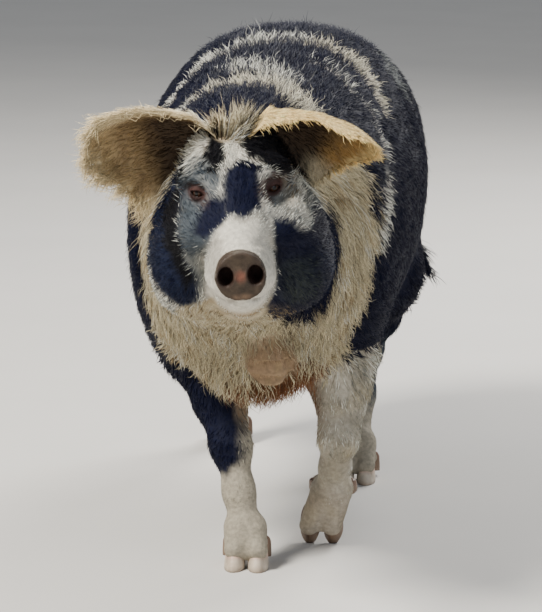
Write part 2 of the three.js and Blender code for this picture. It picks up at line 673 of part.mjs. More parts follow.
const MATERIALS = {
  coat_body: { color: 0x2b2f3a, roughness: 0.8 },
  coat_head: { color: 0x8b8577, roughness: 0.8 },
  coat_legs: { color: 0xb9ae98, roughness: 0.8 },
  coat_ears: { color: 0xc9b183, roughness: 0.85 },
  coat_tail: { color: 0x23262e, roughness: 0.8 },
  snout: { color: 0x8a6f60, roughness: 0.5 },
  eye: { color: 0x1a1210, roughness: 0.1 },
  claw: { color: 0xc9b7a0, roughness: 0.45 },
};

const pig = new THREE.Group();
pig.name = "pig";
pig.position.copy(CENTRE);

function geometryOf(solid) {
  const { vertProperties, triVerts } = solid.getMesh();
  const geometry = new THREE.BufferGeometry();
  geometry.setAttribute("position", new THREE.BufferAttribute(vertProperties, 3));
  return geometry.setIndex(new THREE.BufferAttribute(triVerts, 1));
}

for (const [name, { solid, slot }] of parts) {
  const geometry = geometryOf(biggest(geometrySolid(geometryOf(biggest(solid)))));
  geometry.computeVertexNormals();
  const material = new THREE.MeshStandardMaterial({ name: slot, metalness: 0, ...MATERIALS[slot] });
  const part = new THREE.Mesh(geometry, material);
  part.name = name;
  pig.add(part);
}

export default pig;
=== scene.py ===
"""A walking black-and-white, lop-eared, hairy pig: skin, coat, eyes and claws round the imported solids."""
import math

import bpy
import numpy as np
import openvdb
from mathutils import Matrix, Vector


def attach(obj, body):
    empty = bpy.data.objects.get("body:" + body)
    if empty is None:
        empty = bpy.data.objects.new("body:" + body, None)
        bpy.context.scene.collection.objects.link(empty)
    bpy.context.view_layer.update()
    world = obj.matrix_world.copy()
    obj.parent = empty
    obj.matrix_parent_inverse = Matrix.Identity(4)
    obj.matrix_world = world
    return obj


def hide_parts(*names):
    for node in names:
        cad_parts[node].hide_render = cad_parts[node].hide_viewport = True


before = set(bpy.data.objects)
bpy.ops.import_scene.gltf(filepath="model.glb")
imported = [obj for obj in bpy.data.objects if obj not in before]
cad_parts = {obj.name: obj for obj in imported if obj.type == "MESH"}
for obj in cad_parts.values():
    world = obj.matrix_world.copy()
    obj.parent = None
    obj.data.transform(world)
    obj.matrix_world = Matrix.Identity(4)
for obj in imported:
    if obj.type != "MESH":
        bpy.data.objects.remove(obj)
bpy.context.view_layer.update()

# ============================================================ sizes
# Millimetres, in the same axes and with the same sizes as the part's source. The nose points to -Y, and +X is
# the pig's left. CENTRE brings the middle of the pig's length over the frame's origin.
CENTRE = np.array([0.0, 208.0, 0.0])

SPINE = np.array([
    # y, middle, top, bottom, half width
    [-690, -12, 712, 450, 118],
    [-600, -12, 726, 385, 152],
    [-500, -8, 742, 322, 186],
    [-390, -4, 758, 282, 213],
    [-270, 0, 768, 264, 230],
    [-90, 0, 788, 256, 243],
    [90, 0, 803, 264, 248],
    [210, 0, 799, 302, 236],
    [310, 0, 782, 356, 214],
    [400, 0, 738, 430, 172],
], float)
NECK_END, RUMP_END = -750, 476
WIDEST_LEVEL, SECTION_POWER = 0.53, 2.15

# ("ball" or "hollow", place, radii, soft, paired) or ("cone", from, to, radii, soft, paired)
MUSCLES = [
    ("ball", (112, -330, 424), (84, 112, 156), 50, True),
    ("ball", (114, 352, 500), (104, 134, 196), 60, True),
    ("ball", (90, 205, 640), (90, 110, 90), 80, True),
    ("ball", (0, -470, 360), (86, 70, 80), 60, False),
]
HEAD_AT, HEAD_TURN = (19, -950, 559), (9, 4, 5.5)  # pitch, roll and yaw in degrees
HEAD_SOFT = 55
HEAD_FORMS = [
    ("ball", (0, 30, -2), (33, 34, 33), 24, False),
    ("cone", (0, 62, 4), (0, 150, 30), (40, 58), 22, False),
    ("cone", (0, 40, -36), (0, 170, -74), (28, 52), 26, False),
    ("ball", (0, 225, 70), (84, 96, 68), 34, False),
    ("ball", (0, 288, 98), (66, 58, 50), 34, False),
    ("ball", (29, 92, -22), (25, 56, 26), 24, True),
    ("ball", (56, 196, 92), (27, 40, 21), 22, True),
    ("ball", (68, 178, 22), (42, 66, 46), 34, True),
    ("ball", (82, 214, -52), (58, 82, 76), 40, True),
    ("hollow", (72, 162, 76), (18, 22, 13), 18, True),
    ("ball", (0, 262, -60), (112, 96, 92), 50, False),
    ("ball", (37, 256, 128), (24, 30, 26), 26, False),
    ("ball", (-37, 256, 115), (24, 30, 26), 26, False),
]
DISC_RADIUS = 36.5
NOSTRIL = dict(apart=21.5, up=2, radii=(11, 24, 14.5), rim=(14, 17.5))
EYE_AT, EYE_RADIUS, EYE_TURN = (51, 180, 75), 13, 32
# In the eye's frame: the hollow in front of it, the lids over the ball, the crease round them and the slit.
SOCKET = dict(place=(1, 33, 0), radii=(19, 24, 17), soft=16)
LIDS = dict(radius=15.8, soft=7, crease=19.5, crease_depth=1.6, slit_half=4.4, slit_wide=11.5, slit_soft=1.6)
FORELEGS = {
    "right": dict(
        elbow=(-86, -348, 318), knee=(-46, -420, 190), fetlock=(-20, -454, 62), foot=(-17, -472, 0),
    ),
    "left": dict(
        elbow=(128, -332, 318), knee=(124, -382, 198), fetlock=(110, -326, 98), foot=(91, -302, 0),
        tip_toe=True,
    ),
}
HINDLEGS = {
    "right": dict(
        hip=(-118, 330, 520), stifle=(-150, 232, 372), hock=(-126, 424, 226), fetlock=(-128, 418, 66),
        foot=(-129, 402, 0),
    ),
    "left": dict(
        hip=(118, 330, 520), stifle=(160, 140, 372), hock=(130, 262, 216), fetlock=(122, 152, 66),
        foot=(121, 128, 0),
    ),
}
TAIL = [
    # x, y, z, radius
    (0, 440, 655, 24), (14, 498, 622, 17), (62, 524, 566, 12.5), (120, 528, 486, 10),
    (168, 524, 404, 12), (206, 518, 344, 14), (236, 512, 306, 5),
]
EARS = {
    "left": dict(
        root=(37, 252, 146), face=(0.1, -0.6, -0.8), lift=-8, sag=34, sweep=0, length=174, half=76,
        cup=(170, 120), tip=0.7,
    ),
    "right": dict(
        root=(-37, 252, 133), face=(0, -0.97, -0.24), lift=-3, sag=30, sweep=6, length=176, half=92,
        cup=(150, 74), tip=0.8,
    ),
}
# Radii at a limb's three joints and between them, and how far down the muscle and the thin of the bone lie.
FORE_LIMB = dict(radii=(58, 46, 32.5, 23.5, 26), muscle=0.45, bone=0.55, soft=24)
HIND_LIMB = dict(radii=(70, 52, 31, 22.5, 26), muscle=0.5, bone=0.5, soft=28)
THIGH = dict(radii=(118, 72), soft=50)
TENDON = dict(share=0.3, start=(0, 34, 6), heel=(0, 24, 16), radii=(40, 19), soft=30)
LIMB_SOFT = dict(foot=12, foreleg=34, hindleg=40)
TOE = dict(apart=18.5, knuckle=10, radii=(25, 18.5), soft=12)
HEEL = dict(apart=22, radii=(21, 14))
WEB = dict(radius=12, soft=8)  # the skin between two toes
CLAW = dict(half=17, length=60, height=32, lean=0.5)
DEWCLAW = dict(half=8.5, length=22, height=30, lean=-0.1)
TOE_IN, DEWCLAW_APART = 3, 31
# Where a foot's parts lie, as far back and as high, and how far they lean in degrees. Toe, web and claw are
# in the foot's own frame. Heel and dewclaw lie behind the fetlock: on tip toe their height is over the
# fetlock, and on a flat foot it is over the floor.
TIP_TOE = dict(
    toe=(24, 29), web=(26, 24), claw=(27, -3), heel=(26, 6), dewclaw=(34, -8), lean=62, dewclaw_lean=40,
)
FLAT = dict(
    toe=(-3, 32), web=(2, 24), claw=(0, 0), heel=(22, 34), dewclaw=(30, 9), lean=0, dewclaw_lean=-8,
)
COAT_DEPTH = (1.6, 6.5)  # how far the skin lies under the coat's tips: on face and feet, and on the body


# ============================================================ small tools
def unit(v):
    return v / np.maximum(np.linalg.norm(v, axis=-1, keepdims=True), 1e-9)


def ramp(x, low, high):
    t = np.clip((x - low) / (high - low), 0, 1)
    return t * t * (3 - 2 * t)


def mix(a, b, t):
    return a + (b - a) * t


def tint(colours, other, mask):
    """Colours mixed towards another by a mask, row by row."""
    return mix(colours, other, mask[:, None])


def bell(x, width):
    return np.exp(-((x / width) ** 2))


def turn_x(degrees):
    a = math.radians(degrees)
    return np.array([[1, 0, 0], [0, math.cos(a), -math.sin(a)], [0, math.sin(a), math.cos(a)]])


def turn_y(degrees):
    a = math.radians(degrees)
    return np.array([[math.cos(a), 0, math.sin(a)], [0, 1, 0], [-math.sin(a), 0, math.cos(a)]])


def turn_z(degrees):
    a = math.radians(degrees)
    return np.array([[math.cos(a), -math.sin(a), 0], [math.sin(a), math.cos(a), 0], [0, 0, 1]])


HEAD_AXES = turn_z(HEAD_TURN[2]) @ turn_y(-HEAD_TURN[1]) @ turn_x(HEAD_TURN[0])


def into_head(p):
    return (p - np.asarray(HEAD_AT, p.dtype)) @ HEAD_AXES.astype(p.dtype)


def out_of_head(q):
    return np.asarray(q) @ HEAD_AXES.T + np.asarray(HEAD_AT)


def waves(p, size, seed):
    """A smooth random field from -1 to 1, with features about size across."""
    rng = np.random.default_rng(seed)
    total = 0
    for _ in range(5):
        k = rng.normal(size=3)
        k *= 2 * np.pi / (size * rng.uniform(0.6, 1.5) * np.linalg.norm(k))
        total = total + np.sin(p @ k.astype(p.dtype) + p.dtype.type(rng.uniform(0, 2 * np.pi)))
    return total / 5


def waves_3d(p, size, seed):
    return np.stack([waves(p, size, seed + n) for n in range(3)], -1)


def warped(p, size, amount, seed):
    return p + amount * waves_3d(p, size, seed)


# ============================================================ the body as a distance field
def blend(a, b, k):
    h = np.maximum(k - np.abs(a - b), 0) / k
    return np.minimum(a, b) - h * h * k / 4


def carve(a, b, k):
    return -blend(-a, b, k)


def ball(p, c, r):
    r = np.asarray(r, p.dtype)
    q = (p - np.asarray(c, p.dtype)) / r
    s = np.sqrt((q * q).sum(-1))
    g = q / r
    return s * (s - 1) / np.maximum(np.sqrt((g * g).sum(-1)), 1e-6)


def cone(p, a, b, ra, rb):
    a, b = np.asarray(a, p.dtype), np.asarray(b, p.dtype)
    d = b - a
    t = np.clip(((p - a) @ d) / (d @ d), 0, 1)
    q = p - a - t[..., None] * d
    return np.sqrt((q * q).sum(-1)) - (ra + (rb - ra) * t)


def chain(p, joints, k):
    d = np.full(p.shape[:-1], 1e6, p.dtype)
    for (a, ra), (b, rb) in zip(joints, joints[1:]):
        d = blend(d, cone(p, a, b, ra, rb), k)
    return d


def with_forms(p, forms, d):
    flipped = p * np.array([-1, 1, 1], p.dtype)
    for kind, *rest, soft, paired in forms:
        for q in (p, flipped) if paired else (p,):
            if kind == "cone":
                d = blend(d, cone(q, rest[0], rest[1], *rest[2]), soft)
            elif kind == "ball":
                d = blend(d, ball(q, *rest), soft)
            else:
                d = carve(d, ball(q, *rest), soft)
    return d


def spine_slopes():
    rows = []
    for i in range(len(SPINE)):
        before, after = SPINE[max(i - 1, 0)], SPINE[min(i + 1, len(SPINE) - 1)]
        rows.append((after[1:] - before[1:]) / (after[0] - before[0]))
    return np.array(rows)


SLOPES = spine_slopes()


def along_spine(y):
    ys = SPINE[:, 0]
    i = np.clip(np.searchsorted(ys, y, side="right") - 1, 0, len(ys) - 2)
    span = (ys[i + 1] - ys[i])[..., None]
    t = np.clip((y - ys[i])[..., None] / span, 0, 1)
    t2, t3 = t * t, t * t * t
    v = (2 * t3 - 3 * t2 + 1) * SPINE[i, 1:] + (t3 - 2 * t2 + t) * span * SLOPES[i]
    v += (3 * t2 - 2 * t3) * SPINE[i + 1, 1:] + (t3 - t2) * span * SLOPES[i + 1]
    return [v[..., n].astype(np.float32) for n in range(4)]


def torso(p):
    first, last = SPINE[0, 0], SPINE[-1, 0]
    y = np.clip(p[..., 1], first, last)
    middle, top, bottom, half = along_spine(y)
    level = bottom + (top - bottom) * WIDEST_LEVEL
    x, z = p[..., 0] - middle, p[..., 2] - level
    past = np.maximum((p[..., 1] - last) / (RUMP_END - last), (p[..., 1] - first) / (NECK_END - first))
    across = np.abs(x) / half
    up = np.abs(z) / np.where(z > 0, top - level, level - bottom)
    section = (across**SECTION_POWER + up**SECTION_POWER) ** (1 / SECTION_POWER)
    scaled = np.hypot(section, np.maximum(past, 0))
    reach = np.sqrt(x * x + z * z + (p[..., 1] - y) ** 2)
    return np.where(scaled < 0.2, -0.8 * half, reach * (1 - 1 / np.maximum(scaled, 1e-3))).astype(np.float32)


def limb(p, top, knee, fetlock, shape):
    """A leg from its top joint to its fetlock."""
    top, knee, fetlock = (np.asarray(joint, float) for joint in (top, knee, fetlock))
    joints = [top, mix(top, knee, shape["muscle"]), knee, mix(knee, fetlock, shape["bone"]), fetlock]
    return chain(p, list(zip(joints, shape["radii"])), shape["soft"])


def foreleg(p, leg):
    return limb(p, leg["elbow"], leg["knee"], leg["fetlock"], FORE_LIMB)


def hindleg(p, leg):
    stifle, hock = np.asarray(leg["stifle"], float), np.asarray(leg["hock"], float)
    thigh = cone(p, leg["hip"], stifle, *THIGH["radii"])
    d = blend(thigh, limb(p, stifle, hock, leg["fetlock"], HIND_LIMB), THIGH["soft"])
    start = mix(stifle, hock, TENDON["share"]) + TENDON["start"]
    return blend(d, cone(p, start, hock + TENDON["heel"], *TENDON["radii"]), TENDON["soft"])


def stance(leg):
    return TIP_TOE if leg.get("tip_toe") else FLAT


def foot_axes(leg):
    return turn_x(stance(leg)["lean"])


def in_foot(leg, across, part):
    return foot_axes(leg) @ np.array([across, *stance(leg)[part]], float) + leg["foot"]


def behind_fetlock(leg, across, part):
    x, y, z = leg["fetlock"]
    back, up = stance(leg)[part]
    return np.array([x + across, y + back, up + (z if leg.get("tip_toe") else 0)], float)


def toes(p, leg):
    d = np.full(p.shape[:-1], 1e6, p.dtype)
    for side in (1, -1):
        knuckle = np.asarray(leg["fetlock"], float) + (side * TOE["knuckle"], 0, 0)
        toe = cone(p, knuckle, in_foot(leg, side * TOE["apart"], "toe"), *TOE["radii"])
        heel = cone(p, knuckle, behind_fetlock(leg, side * HEEL["apart"], "heel"), *HEEL["radii"])
        d = blend(blend(d, toe, TOE["soft"]), heel, TOE["soft"])
    web = in_foot(leg, 0, "web").astype(p.dtype)
    return blend(d, np.linalg.norm(p - web, axis=-1) - WEB["radius"], WEB["soft"])


def local(p, d, where, change):
    """Changes a field in place, only at the points that a part can reach."""
    if where.any():
        d[where] = change(p[where], d[where])
    return d


def with_limb(p, d, near, limb_field, leg, soft):
    """Joins one leg with its foot to the body."""
    def joined(q, e):
        return blend(e, blend(limb_field(q, leg), toes(q, leg), LIMB_SOFT["foot"]), soft)

    local(p, d, near, joined)


def body(p):
    """The distance from the coat's outer surface, as the solids have it."""
    d = with_forms(p, MUSCLES, torso(p))
    y, z = p[..., 1], p[..., 2]
    for leg in FORELEGS.values():
        with_limb(p, d, (z < 440) & (y < -150), foreleg, leg, LIMB_SOFT["foreleg"])
    for leg in HINDLEGS.values():
        with_limb(p, d, (z < 720) & (y > -50), hindleg, leg, LIMB_SOFT["hindleg"])
    far = np.float32(1e6)
    return local(p, d, y < -480, lambda q, e: blend(e, with_forms(into_head(q), HEAD_FORMS, far), HEAD_SOFT))


def coat_depth(p, h):
    """How far the skin lies under the tips of the coat: least on the face and the feet."""
    on_face = mix(*COAT_DEPTH, ramp(h[..., 1], 40, 330))
    on_leg = mix(*COAT_DEPTH, ramp(p[..., 2], 90, 330))
    return np.minimum(on_face, on_leg)


# ============================================================ the head's folds
MOUTH = [(12, 12, -41), (30, 44, -48), (41, 84, -56), (46, 112, -66), (50, 128, -62)]
CHIN_FOLD = [
    (-46, 124, -74), (-37, 123, -89), (-26, 125, -101), (-10, 138, -114), (4, 142, -118), (18, 142, -114),
    (30, 128, -99), (38, 116, -80),
]
HEAD_CREASES = [
    # (depth, width, mirrored, points in the head's frame)
    (6.0, 3.6, True, MOUTH),
    (12.0, 7.0, False, CHIN_FOLD),
    (3.2, 3.2, True, [(36, 156, 62), (48, 148, 57), (62, 152, 54), (76, 168, 56)]),
    (2.0, 3.0, True, [(32, 148, 52), (46, 138, 46), (62, 142, 43), (76, 158, 44)]),
    (2.2, 3.0, True, [(40, 160, 96), (54, 158, 101), (68, 168, 98)]),
    (3.0, 8.0, True, [(26, 52, 30), (44, 86, 20), (52, 118, 0), (50, 128, -30)]),
    (1.6, 3.0, False, [(-26, 34, 24), (0, 32, 36), (26, 34, 24)]),
    (1.4, 3.0, False, [(-28, 46, 28), (0, 44, 41), (28, 46, 28)]),
    (1.3, 3.5, False, [(-30, 60, 32), (0, 58, 45), (30, 60, 32)]),
    (1.6, 5.0, True, [(15, 104, 72), (17, 128, 92), (20, 150, 106)]),
    (7.0, 13.0, True, [(96, 292, 40), (112, 302, -10), (108, 300, -70), (84, 296, -120), (40, 290, -150)]),
    (3.0, 6.0, False, [(-58, 118, -74), (-76, 140, -84), (-92, 170, -92)]),
    (3.0, 6.0, False, [(-50, 120, -92), (-70, 146, -104), (-86, 180, -112)]),
    (2.4, 6.0, False, [(-40, 124, -108), (-60, 150, -122), (-74, 190, -130)]),
]
BODY_CREASES = [
    # (depth, width, points)
    (7, 16, [(-150, -590, 640), (-172, -560, 560), (-168, -545, 480), (-120, -560, 400)]),
    (7, 16, [(150, -590, 640), (168, -560, 560), (164, -545, 480), (118, -560, 400)]),
    (5, 14, [(-190, -470, 600), (-204, -450, 520), (-192, -452, 420)]),
    (5, 14, [(190, -470, 600), (204, -450, 520), (192, -452, 420)]),
    (8, 16, [(-225, -232, 420), (-214, -236, 340), (-180, -244, 290)]),
    (8, 16, [(225, -220, 420), (216, -226, 340), (190, -236, 290)]),
    (8, 18, [(-236, 150, 470), (-220, 140, 390), (-190, 130, 320)]),
    (8, 18, [(238, 70, 470), (226, 60, 390), (200, 50, 320)]),
]

POUCH = [((27, -584, 396), (34, 48, 40)), ((31, -590, 362), (39, 50, 40))]  # two balls under the throat
TAIL_HAIR = 3.5  # the depth of the coat on the tail


def leg_lines():
    """Each leg's joints, from the top down, by the leg's name."""
    lines = {}
    for side, leg in FORELEGS.items():
        lines["foreleg_" + side] = [leg[n] for n in ("elbow", "knee", "fetlock", "foot")]
    for side, leg in HINDLEGS.items():
        lines["hindleg_" + side] = [leg[n] for n in ("stifle", "hock", "fetlock", "foot")]
    return lines


LEG_LINES = leg_lines()


def tube_distance(p, points):
    """The distance from a line through points."""
    d = np.full(p.shape[:-1], 1e6, p.dtype)
    for a, b in zip(points, points[1:]):
        d = np.minimum(d, cone(p, a, b, 0, 0))
    return d


def eye_axes(side):
    """Columns: to the pig's outer side, forward out of the socket, up."""
    forward = turn_z(side * EYE_TURN) @ np.array([0, -1, 0.04])
    forward /= np.linalg.norm(forward)
    across = np.cross(forward, [0, 0, 1.0])
    across /= np.linalg.norm(across)
    return np.stack([across * -side, forward, np.cross(across, forward)], 1)


def in_eye(h, side):
    """Points of the head's frame in one eye's own frame."""
    return (h - np.array([side * EYE_AT[0], *EYE_AT[1:]], h.dtype)) @ eye_axes(side).astype(h.dtype)


def eye_surroundings(h, d, side):
    """Hollows the face in front of one eye, lays lids over the ball and opens them."""
    q = in_eye(h, side)
    across, forward, up = q[..., 0], q[..., 1], q[..., 2]
    d = carve(d, ball(q, SOCKET["place"], SOCKET["radii"]), SOCKET["soft"])
    reach = np.sqrt((q * q).sum(-1))
    d = blend(d, reach - LIDS["radius"], LIDS["soft"])
    crease = LIDS["crease_depth"] * bell(reach - LIDS["crease"], 1.6)
    d += crease * ramp(up, 2, 7) * ramp(forward, 0, 8)
    slit = np.abs(up + 0.6 - 0.06 * across) - LIDS["slit_half"] * (1 - (across / LIDS["slit_wide"]) ** 2)
    slit = np.where(forward > 2, slit, 9.0)
    return carve(d, np.maximum(slit, reach - 30).astype(h.dtype), LIDS["slit_soft"])


def snout_forms(h, d):
    """The snout's disc with its bulge and raised edge, the groove of the upper lip and the nostrils."""
    x, y, z = h[..., 0], h[..., 1], h[..., 2]
    r = np.sqrt(x * x + z * z)
    face = 1.2 + 2.2 * bell(r, 24) - 1.2 * bell(r - 33, 5)
    disc = np.maximum(r - DISC_RADIUS + waves(h, 40, 5), np.abs(y - 11) - (11 - face))
    d = blend(d, disc, 5)
    d += 2.4 * bell(x, 2.6) * ramp(-z, 16, 30) * ramp(-y, -16, -2)
    wide, high = NOSTRIL["rim"]
    for side in (1, -1):
        rim = np.sqrt(((x - side * NOSTRIL["apart"]) / wide) ** 2 + ((z - NOSTRIL["up"]) / high) ** 2)
        d -= 1.6 * bell(rim - 1, 0.16) * ramp(-y, -14, 0)
        d = carve(d, ball(h, (side * NOSTRIL["apart"], 1, NOSTRIL["up"]), NOSTRIL["radii"]), 3)
    return d


def face_folds(p, d):
    """The field on the head, with its creases, snout and eyes."""
    h = into_head(p)
    mirrored_h = np.concatenate([np.abs(h[..., :1]), h[..., 1:]], -1)
    for depth, width, mirrored, points in HEAD_CREASES:
        d = d + depth * bell(tube_distance(mirrored_h if mirrored else h, points), width)
    front = h[..., 1] < 60
    d[front] = snout_forms(h[front], d[front])
    for side in (1, -1):
        near = np.linalg.norm(h - np.array([side * EYE_AT[0], 165, EYE_AT[2]], h.dtype), axis=-1) < 62
        d[near] = eye_surroundings(h[near], d[near], side)
    return d.astype(p.dtype)


def skin_field(p, fine=True):
    """The distance from the skin. Without fine, the folds are left out."""
    h = into_head(p)
    d = body(p) + coat_depth(p, h).astype(p.dtype)
    tail = chain(p, [(t[:3], max(t[3] - TAIL_HAIR, 2)) for t in TAIL], 14)
    d = blend(d, tail, 18)
    if not fine:
        return d
    local(p, d, (h[..., 1] < 330) & (h[..., 2] > -230), face_folds)
    for depth, width, points in BODY_CREASES:
        near = np.linalg.norm(p - np.mean(points, 0).astype(p.dtype), axis=-1) < 190
        local(p, d, near, lambda q, e: e + depth * bell(tube_distance(q, points), width))
    pouch = blend(*(ball(p, place, radii) for place, radii in POUCH), 16)
    d = blend(d, pouch + 2 + 2.4 * waves(p * np.array([1, 1, 1.6], p.dtype), 30, 92), 20)
    return d + 0.9 * waves(p, 46, 91) * ramp(d, -20, 0)


# ============================================================ meshing
STEP = 5.0  # the grid's step
BLOCK = 4  # steps in a block, which is left out as a whole where the skin is far off
LOW, HIGH = np.array([-268, -992, -8]), np.array([268, 568, 832])  # the grid's corners
FEET_BELOW = 75  # under this height, on the feet, the mesh is finest
LIDS_MIDDLE, LIDS_REACH = (59, 156, 75), 30  # and here, round the left eye, and round the right one


def in_chunks(field, p, size=400000):
    return np.concatenate([field(p[i : i + size]) for i in range(0, len(p), size)])


def field_mesh():
    """A quad mesh of the skin, from a dense grid that is worked out only near the surface."""
    blocks = np.ceil((HIGH - LOW) / (STEP * BLOCK)).astype(int)
    index = np.stack(np.meshgrid(*[np.arange(b) for b in blocks], indexing="ij"), -1).reshape(-1, 3)
    centre = (LOW + (index * BLOCK + (BLOCK - 1) / 2) * STEP).astype(np.float32)
    rough = in_chunks(lambda q: skin_field(q, False), centre)
    near = np.abs(rough) < 1.5 * BLOCK * STEP + 12
    values = np.repeat(np.repeat(np.repeat(rough.reshape(blocks), BLOCK, 0), BLOCK, 1), BLOCK, 2)
    inner = np.stack(np.meshgrid(*[np.arange(BLOCK)] * 3, indexing="ij"), -1).reshape(-1, 3)
    cells = (index[near][:, None] * BLOCK + inner[None]).reshape(-1, 3)
    points = (LOW + cells * STEP).astype(np.float32)
    values[cells[:, 0], cells[:, 1], cells[:, 2]] = in_chunks(skin_field, points)
    grid = openvdb.FloatGrid(background=60.0)
    grid.copyFromArray(np.ascontiguousarray(values, np.float32))
    found, quads = grid.convertToQuads(isovalue=0.0)
    return LOW + np.asarray(found, float) * STEP, np.asarray(quads, np.int64)


def gradient(field, p, reach=0.6):
    g = np.empty(p.shape, float)
    for n in range(3):
        e = np.zeros(3, np.float32)
        e[n] = reach
        g[:, n] = in_chunks(field, p + e) - in_chunks(field, p - e)
    return g / (2 * reach)


def settle(p, rounds=2, most=3.0):
    """Moves points down the field's slope onto the skin, and returns them with the outward directions."""
    q = p.astype(np.float32)
    for _ in range(rounds):
        g = gradient(skin_field, q)
        move = in_chunks(skin_field, q) / np.maximum((g * g).sum(1), 0.1)
        q = (q - np.clip(move, -most, most)[:, None] * g).astype(np.float32)
    return q.astype(float), unit(gradient(skin_field, q))


def refine(points, quads, others, chosen):
    """Splits the chosen quads in four, and gives their neighbours the new corners."""
    count = len(points)
    edges = np.sort(np.stack([quads, np.roll(quads, -1, 1)], -1), -1)
    codes = edges[..., 0] * count + edges[..., 1]
    wanted, back = np.unique(codes[chosen], return_inverse=True)
    ends = np.stack([wanted // count, wanted % count], 1)
    middle = count + back.reshape(-1, 4)
    centre = count + len(wanted) + np.arange(chosen.sum())
    grown = np.concatenate([points, points[ends].mean(1), points[quads[chosen]].mean(1)])
    old = quads[chosen]
    new = [np.stack([old[:, n], middle[:, n], centre, middle[:, n - 1]], 1) for n in range(4)]
    place = np.searchsorted(wanted, codes)
    hit = (place < len(wanted)) & (wanted[np.minimum(place, len(wanted) - 1)] == codes)
    beside = ~chosen & hit.any(1)
    for face in np.flatnonzero(beside):
        ring = []
        for n in range(4):
            ring.append(int(quads[face, n]))
            if hit[face, n]:
                ring.append(int(count + place[face, n]))
        others.append(ring)
    return grown, np.concatenate([quads[~chosen & ~beside], *new]), others


def mesh_from(name, points, *groups):
    """A smooth mesh. Each group is an array of faces with equally many corners, or a list of rings."""
    groups = [g for g in groups if len(g)]
    loops = np.concatenate([np.ravel(g) if isinstance(g, np.ndarray) else np.concatenate(g) for g in groups])
    counts = np.concatenate([[len(face) for face in g] for g in groups])
    mesh = bpy.data.meshes.new(name)
    mesh.vertices.add(len(points))
    mesh.vertices.foreach_set("co", ((points + CENTRE) / 1000).astype(np.float32).reshape(-1))
    mesh.loops.add(len(loops))
    mesh.loops.foreach_set("vertex_index", loops.astype(np.int32))
    mesh.polygons.add(len(counts))
    mesh.polygons.foreach_set("loop_start", (np.cumsum(counts) - counts).astype(np.int32))
    mesh.update(calc_edges=True)
    mesh.polygons.foreach_set("use_smooth", np.ones(len(counts), bool))
    mesh.update()
    return mesh


def add_piece(name, mesh, material, replaced=()):
    mesh.materials.append(material)
    piece = bpy.data.objects.new(name, mesh)
    bpy.context.scene.collection.objects.link(piece)
    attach(piece, "root")
    if replaced:
        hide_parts(*replaced)


def set_colour(mesh, name, colour):
    layer = mesh.color_attributes.new(name, "FLOAT_COLOR", "POINT")
    full = np.ones((len(colour), 4), np.float32)
    full[:, :3] = colour
    layer.data.foreach_set("color", full.reshape(-1))


def set_value(mesh, name, value):
    mesh.attributes.new(name, "FLOAT", "POINT").data.foreach_set("value", np.asarray(value, np.float32))


# ============================================================ markings
def srgb(r, g, b):
    c = np.array([r, g, b], float) / 255
    return np.where(c > 0.04045, ((c + 0.055) / 1.055) ** 2.4, c / 12.92)


# The first and the third colour here are black hair with a painted blue reflection of the sky, the third
# brighter; INK is the black hair without it.
BLACK_SKY_BLUE, INK, BLACK_BRIGHT_SKY_BLUE, SLATE = srgb(6, 11, 36), srgb(8, 8, 14), srgb(26, 34, 56), srgb(62, 70, 78)
WHITE, CREAM, TAN, BONE = srgb(216, 215, 204), srgb(188, 177, 148), srgb(150, 130, 96), srgb(160, 155, 140)
GREY, GOLD, RUST, PINK = srgb(118, 122, 120), srgb(240, 206, 134), srgb(108, 70, 44), srgb(146, 122, 96)
LID, IVORY = srgb(66, 46, 42), srgb(204, 198, 178)
MOSS, FAWN, ASH, UMBER = srgb(56, 62, 58), srgb(128, 98, 68), srgb(124, 126, 120), srgb(44, 31, 24)
GINGER = srgb(190, 140, 84)

# The back edge of the cream belt: height, and how far back it lies on the pig's left and right.
BELT = np.array([
    [200, -380, -380], [330, -425, -415], [380, -450, -440], [430, -470, -500], [500, -478, -548],
    [580, -436, -592], [640, -440, -622], [690, -500, -640], [760, -610, -650],
], float)
STRIPES = [
    # (colour, softness, share of the hairs, points of a tube: x, y, z and the stripe's half width)
    (WHITE, 6, 1.0, [(-200, -210, 660, 9), (-177, -187, 703, 11), (-157, -99, 735, 14), (-117, -27, 767, 17),
                      (-84, -17, 783, 16), (-36, 7, 794, 18)]),
    (WHITE, 14, 0.6, [(-60, -10, 790, 20), (-3, 16, 797, 22), (40, 10, 798, 16)]),
    (IVORY, 8, 0.95, [(46, -6, 793, 10), (75, 8, 786, 16), (105, -21, 775, 22), (132, -34, 759, 24),
                      (154, -65, 741, 18), (174, -118, 718, 13), (190, -160, 690, 8)]),
    (WHITE, 10, 0.65, [(58, -126, 777, 8), (99, -144, 763, 12), (132, -199, 741, 9), (156, -213, 720, 9),
                       (178, -249, 692, 9), (201, -328, 640, 12), (207, -385, 590, 18),
                       (190, -430, 540, 24)]),
    (WHITE, 26, 0.5, [(-65, -160, 769, 22), (-30, -200, 772, 40), (13, -260, 771, 36), (30, -330, 762, 26)]),
    (WHITE, 7, 1.0, [(-176, -390, 690, 11), (-130, -350, 723, 14), (-108, -336, 739, 13)]),
    (IVORY, 12, 0.7, [(-108, -336, 739, 13), (-80, -290, 757, 20), (-40, -285, 763, 28), (-5, -314, 763, 28),
                       (30, -352, 759, 26), (62, -430, 744, 26), (80, -520, 722, 26)]),
    (GREY, 18, 0.8, [(172, 170, 745, 20), (188, 120, 728, 26), (196, 90, 700, 18)]),
    # the side and the rump that the camera doesn't see
    (GREY, 14, 0.8, [(-236, 40, 560, 16), (-240, 90, 520, 20), (-232, 130, 470, 14)]),
    (WHITE, 9, 0.9, [(-60, 380, 740, 16), (-20, 440, 700, 22), (10, 450, 640, 14)]),
    (CREAM, 14, 0.8, [(-120, -120, 275, 40), (-60, 40, 262, 46), (0, 160, 290, 40)]),
]
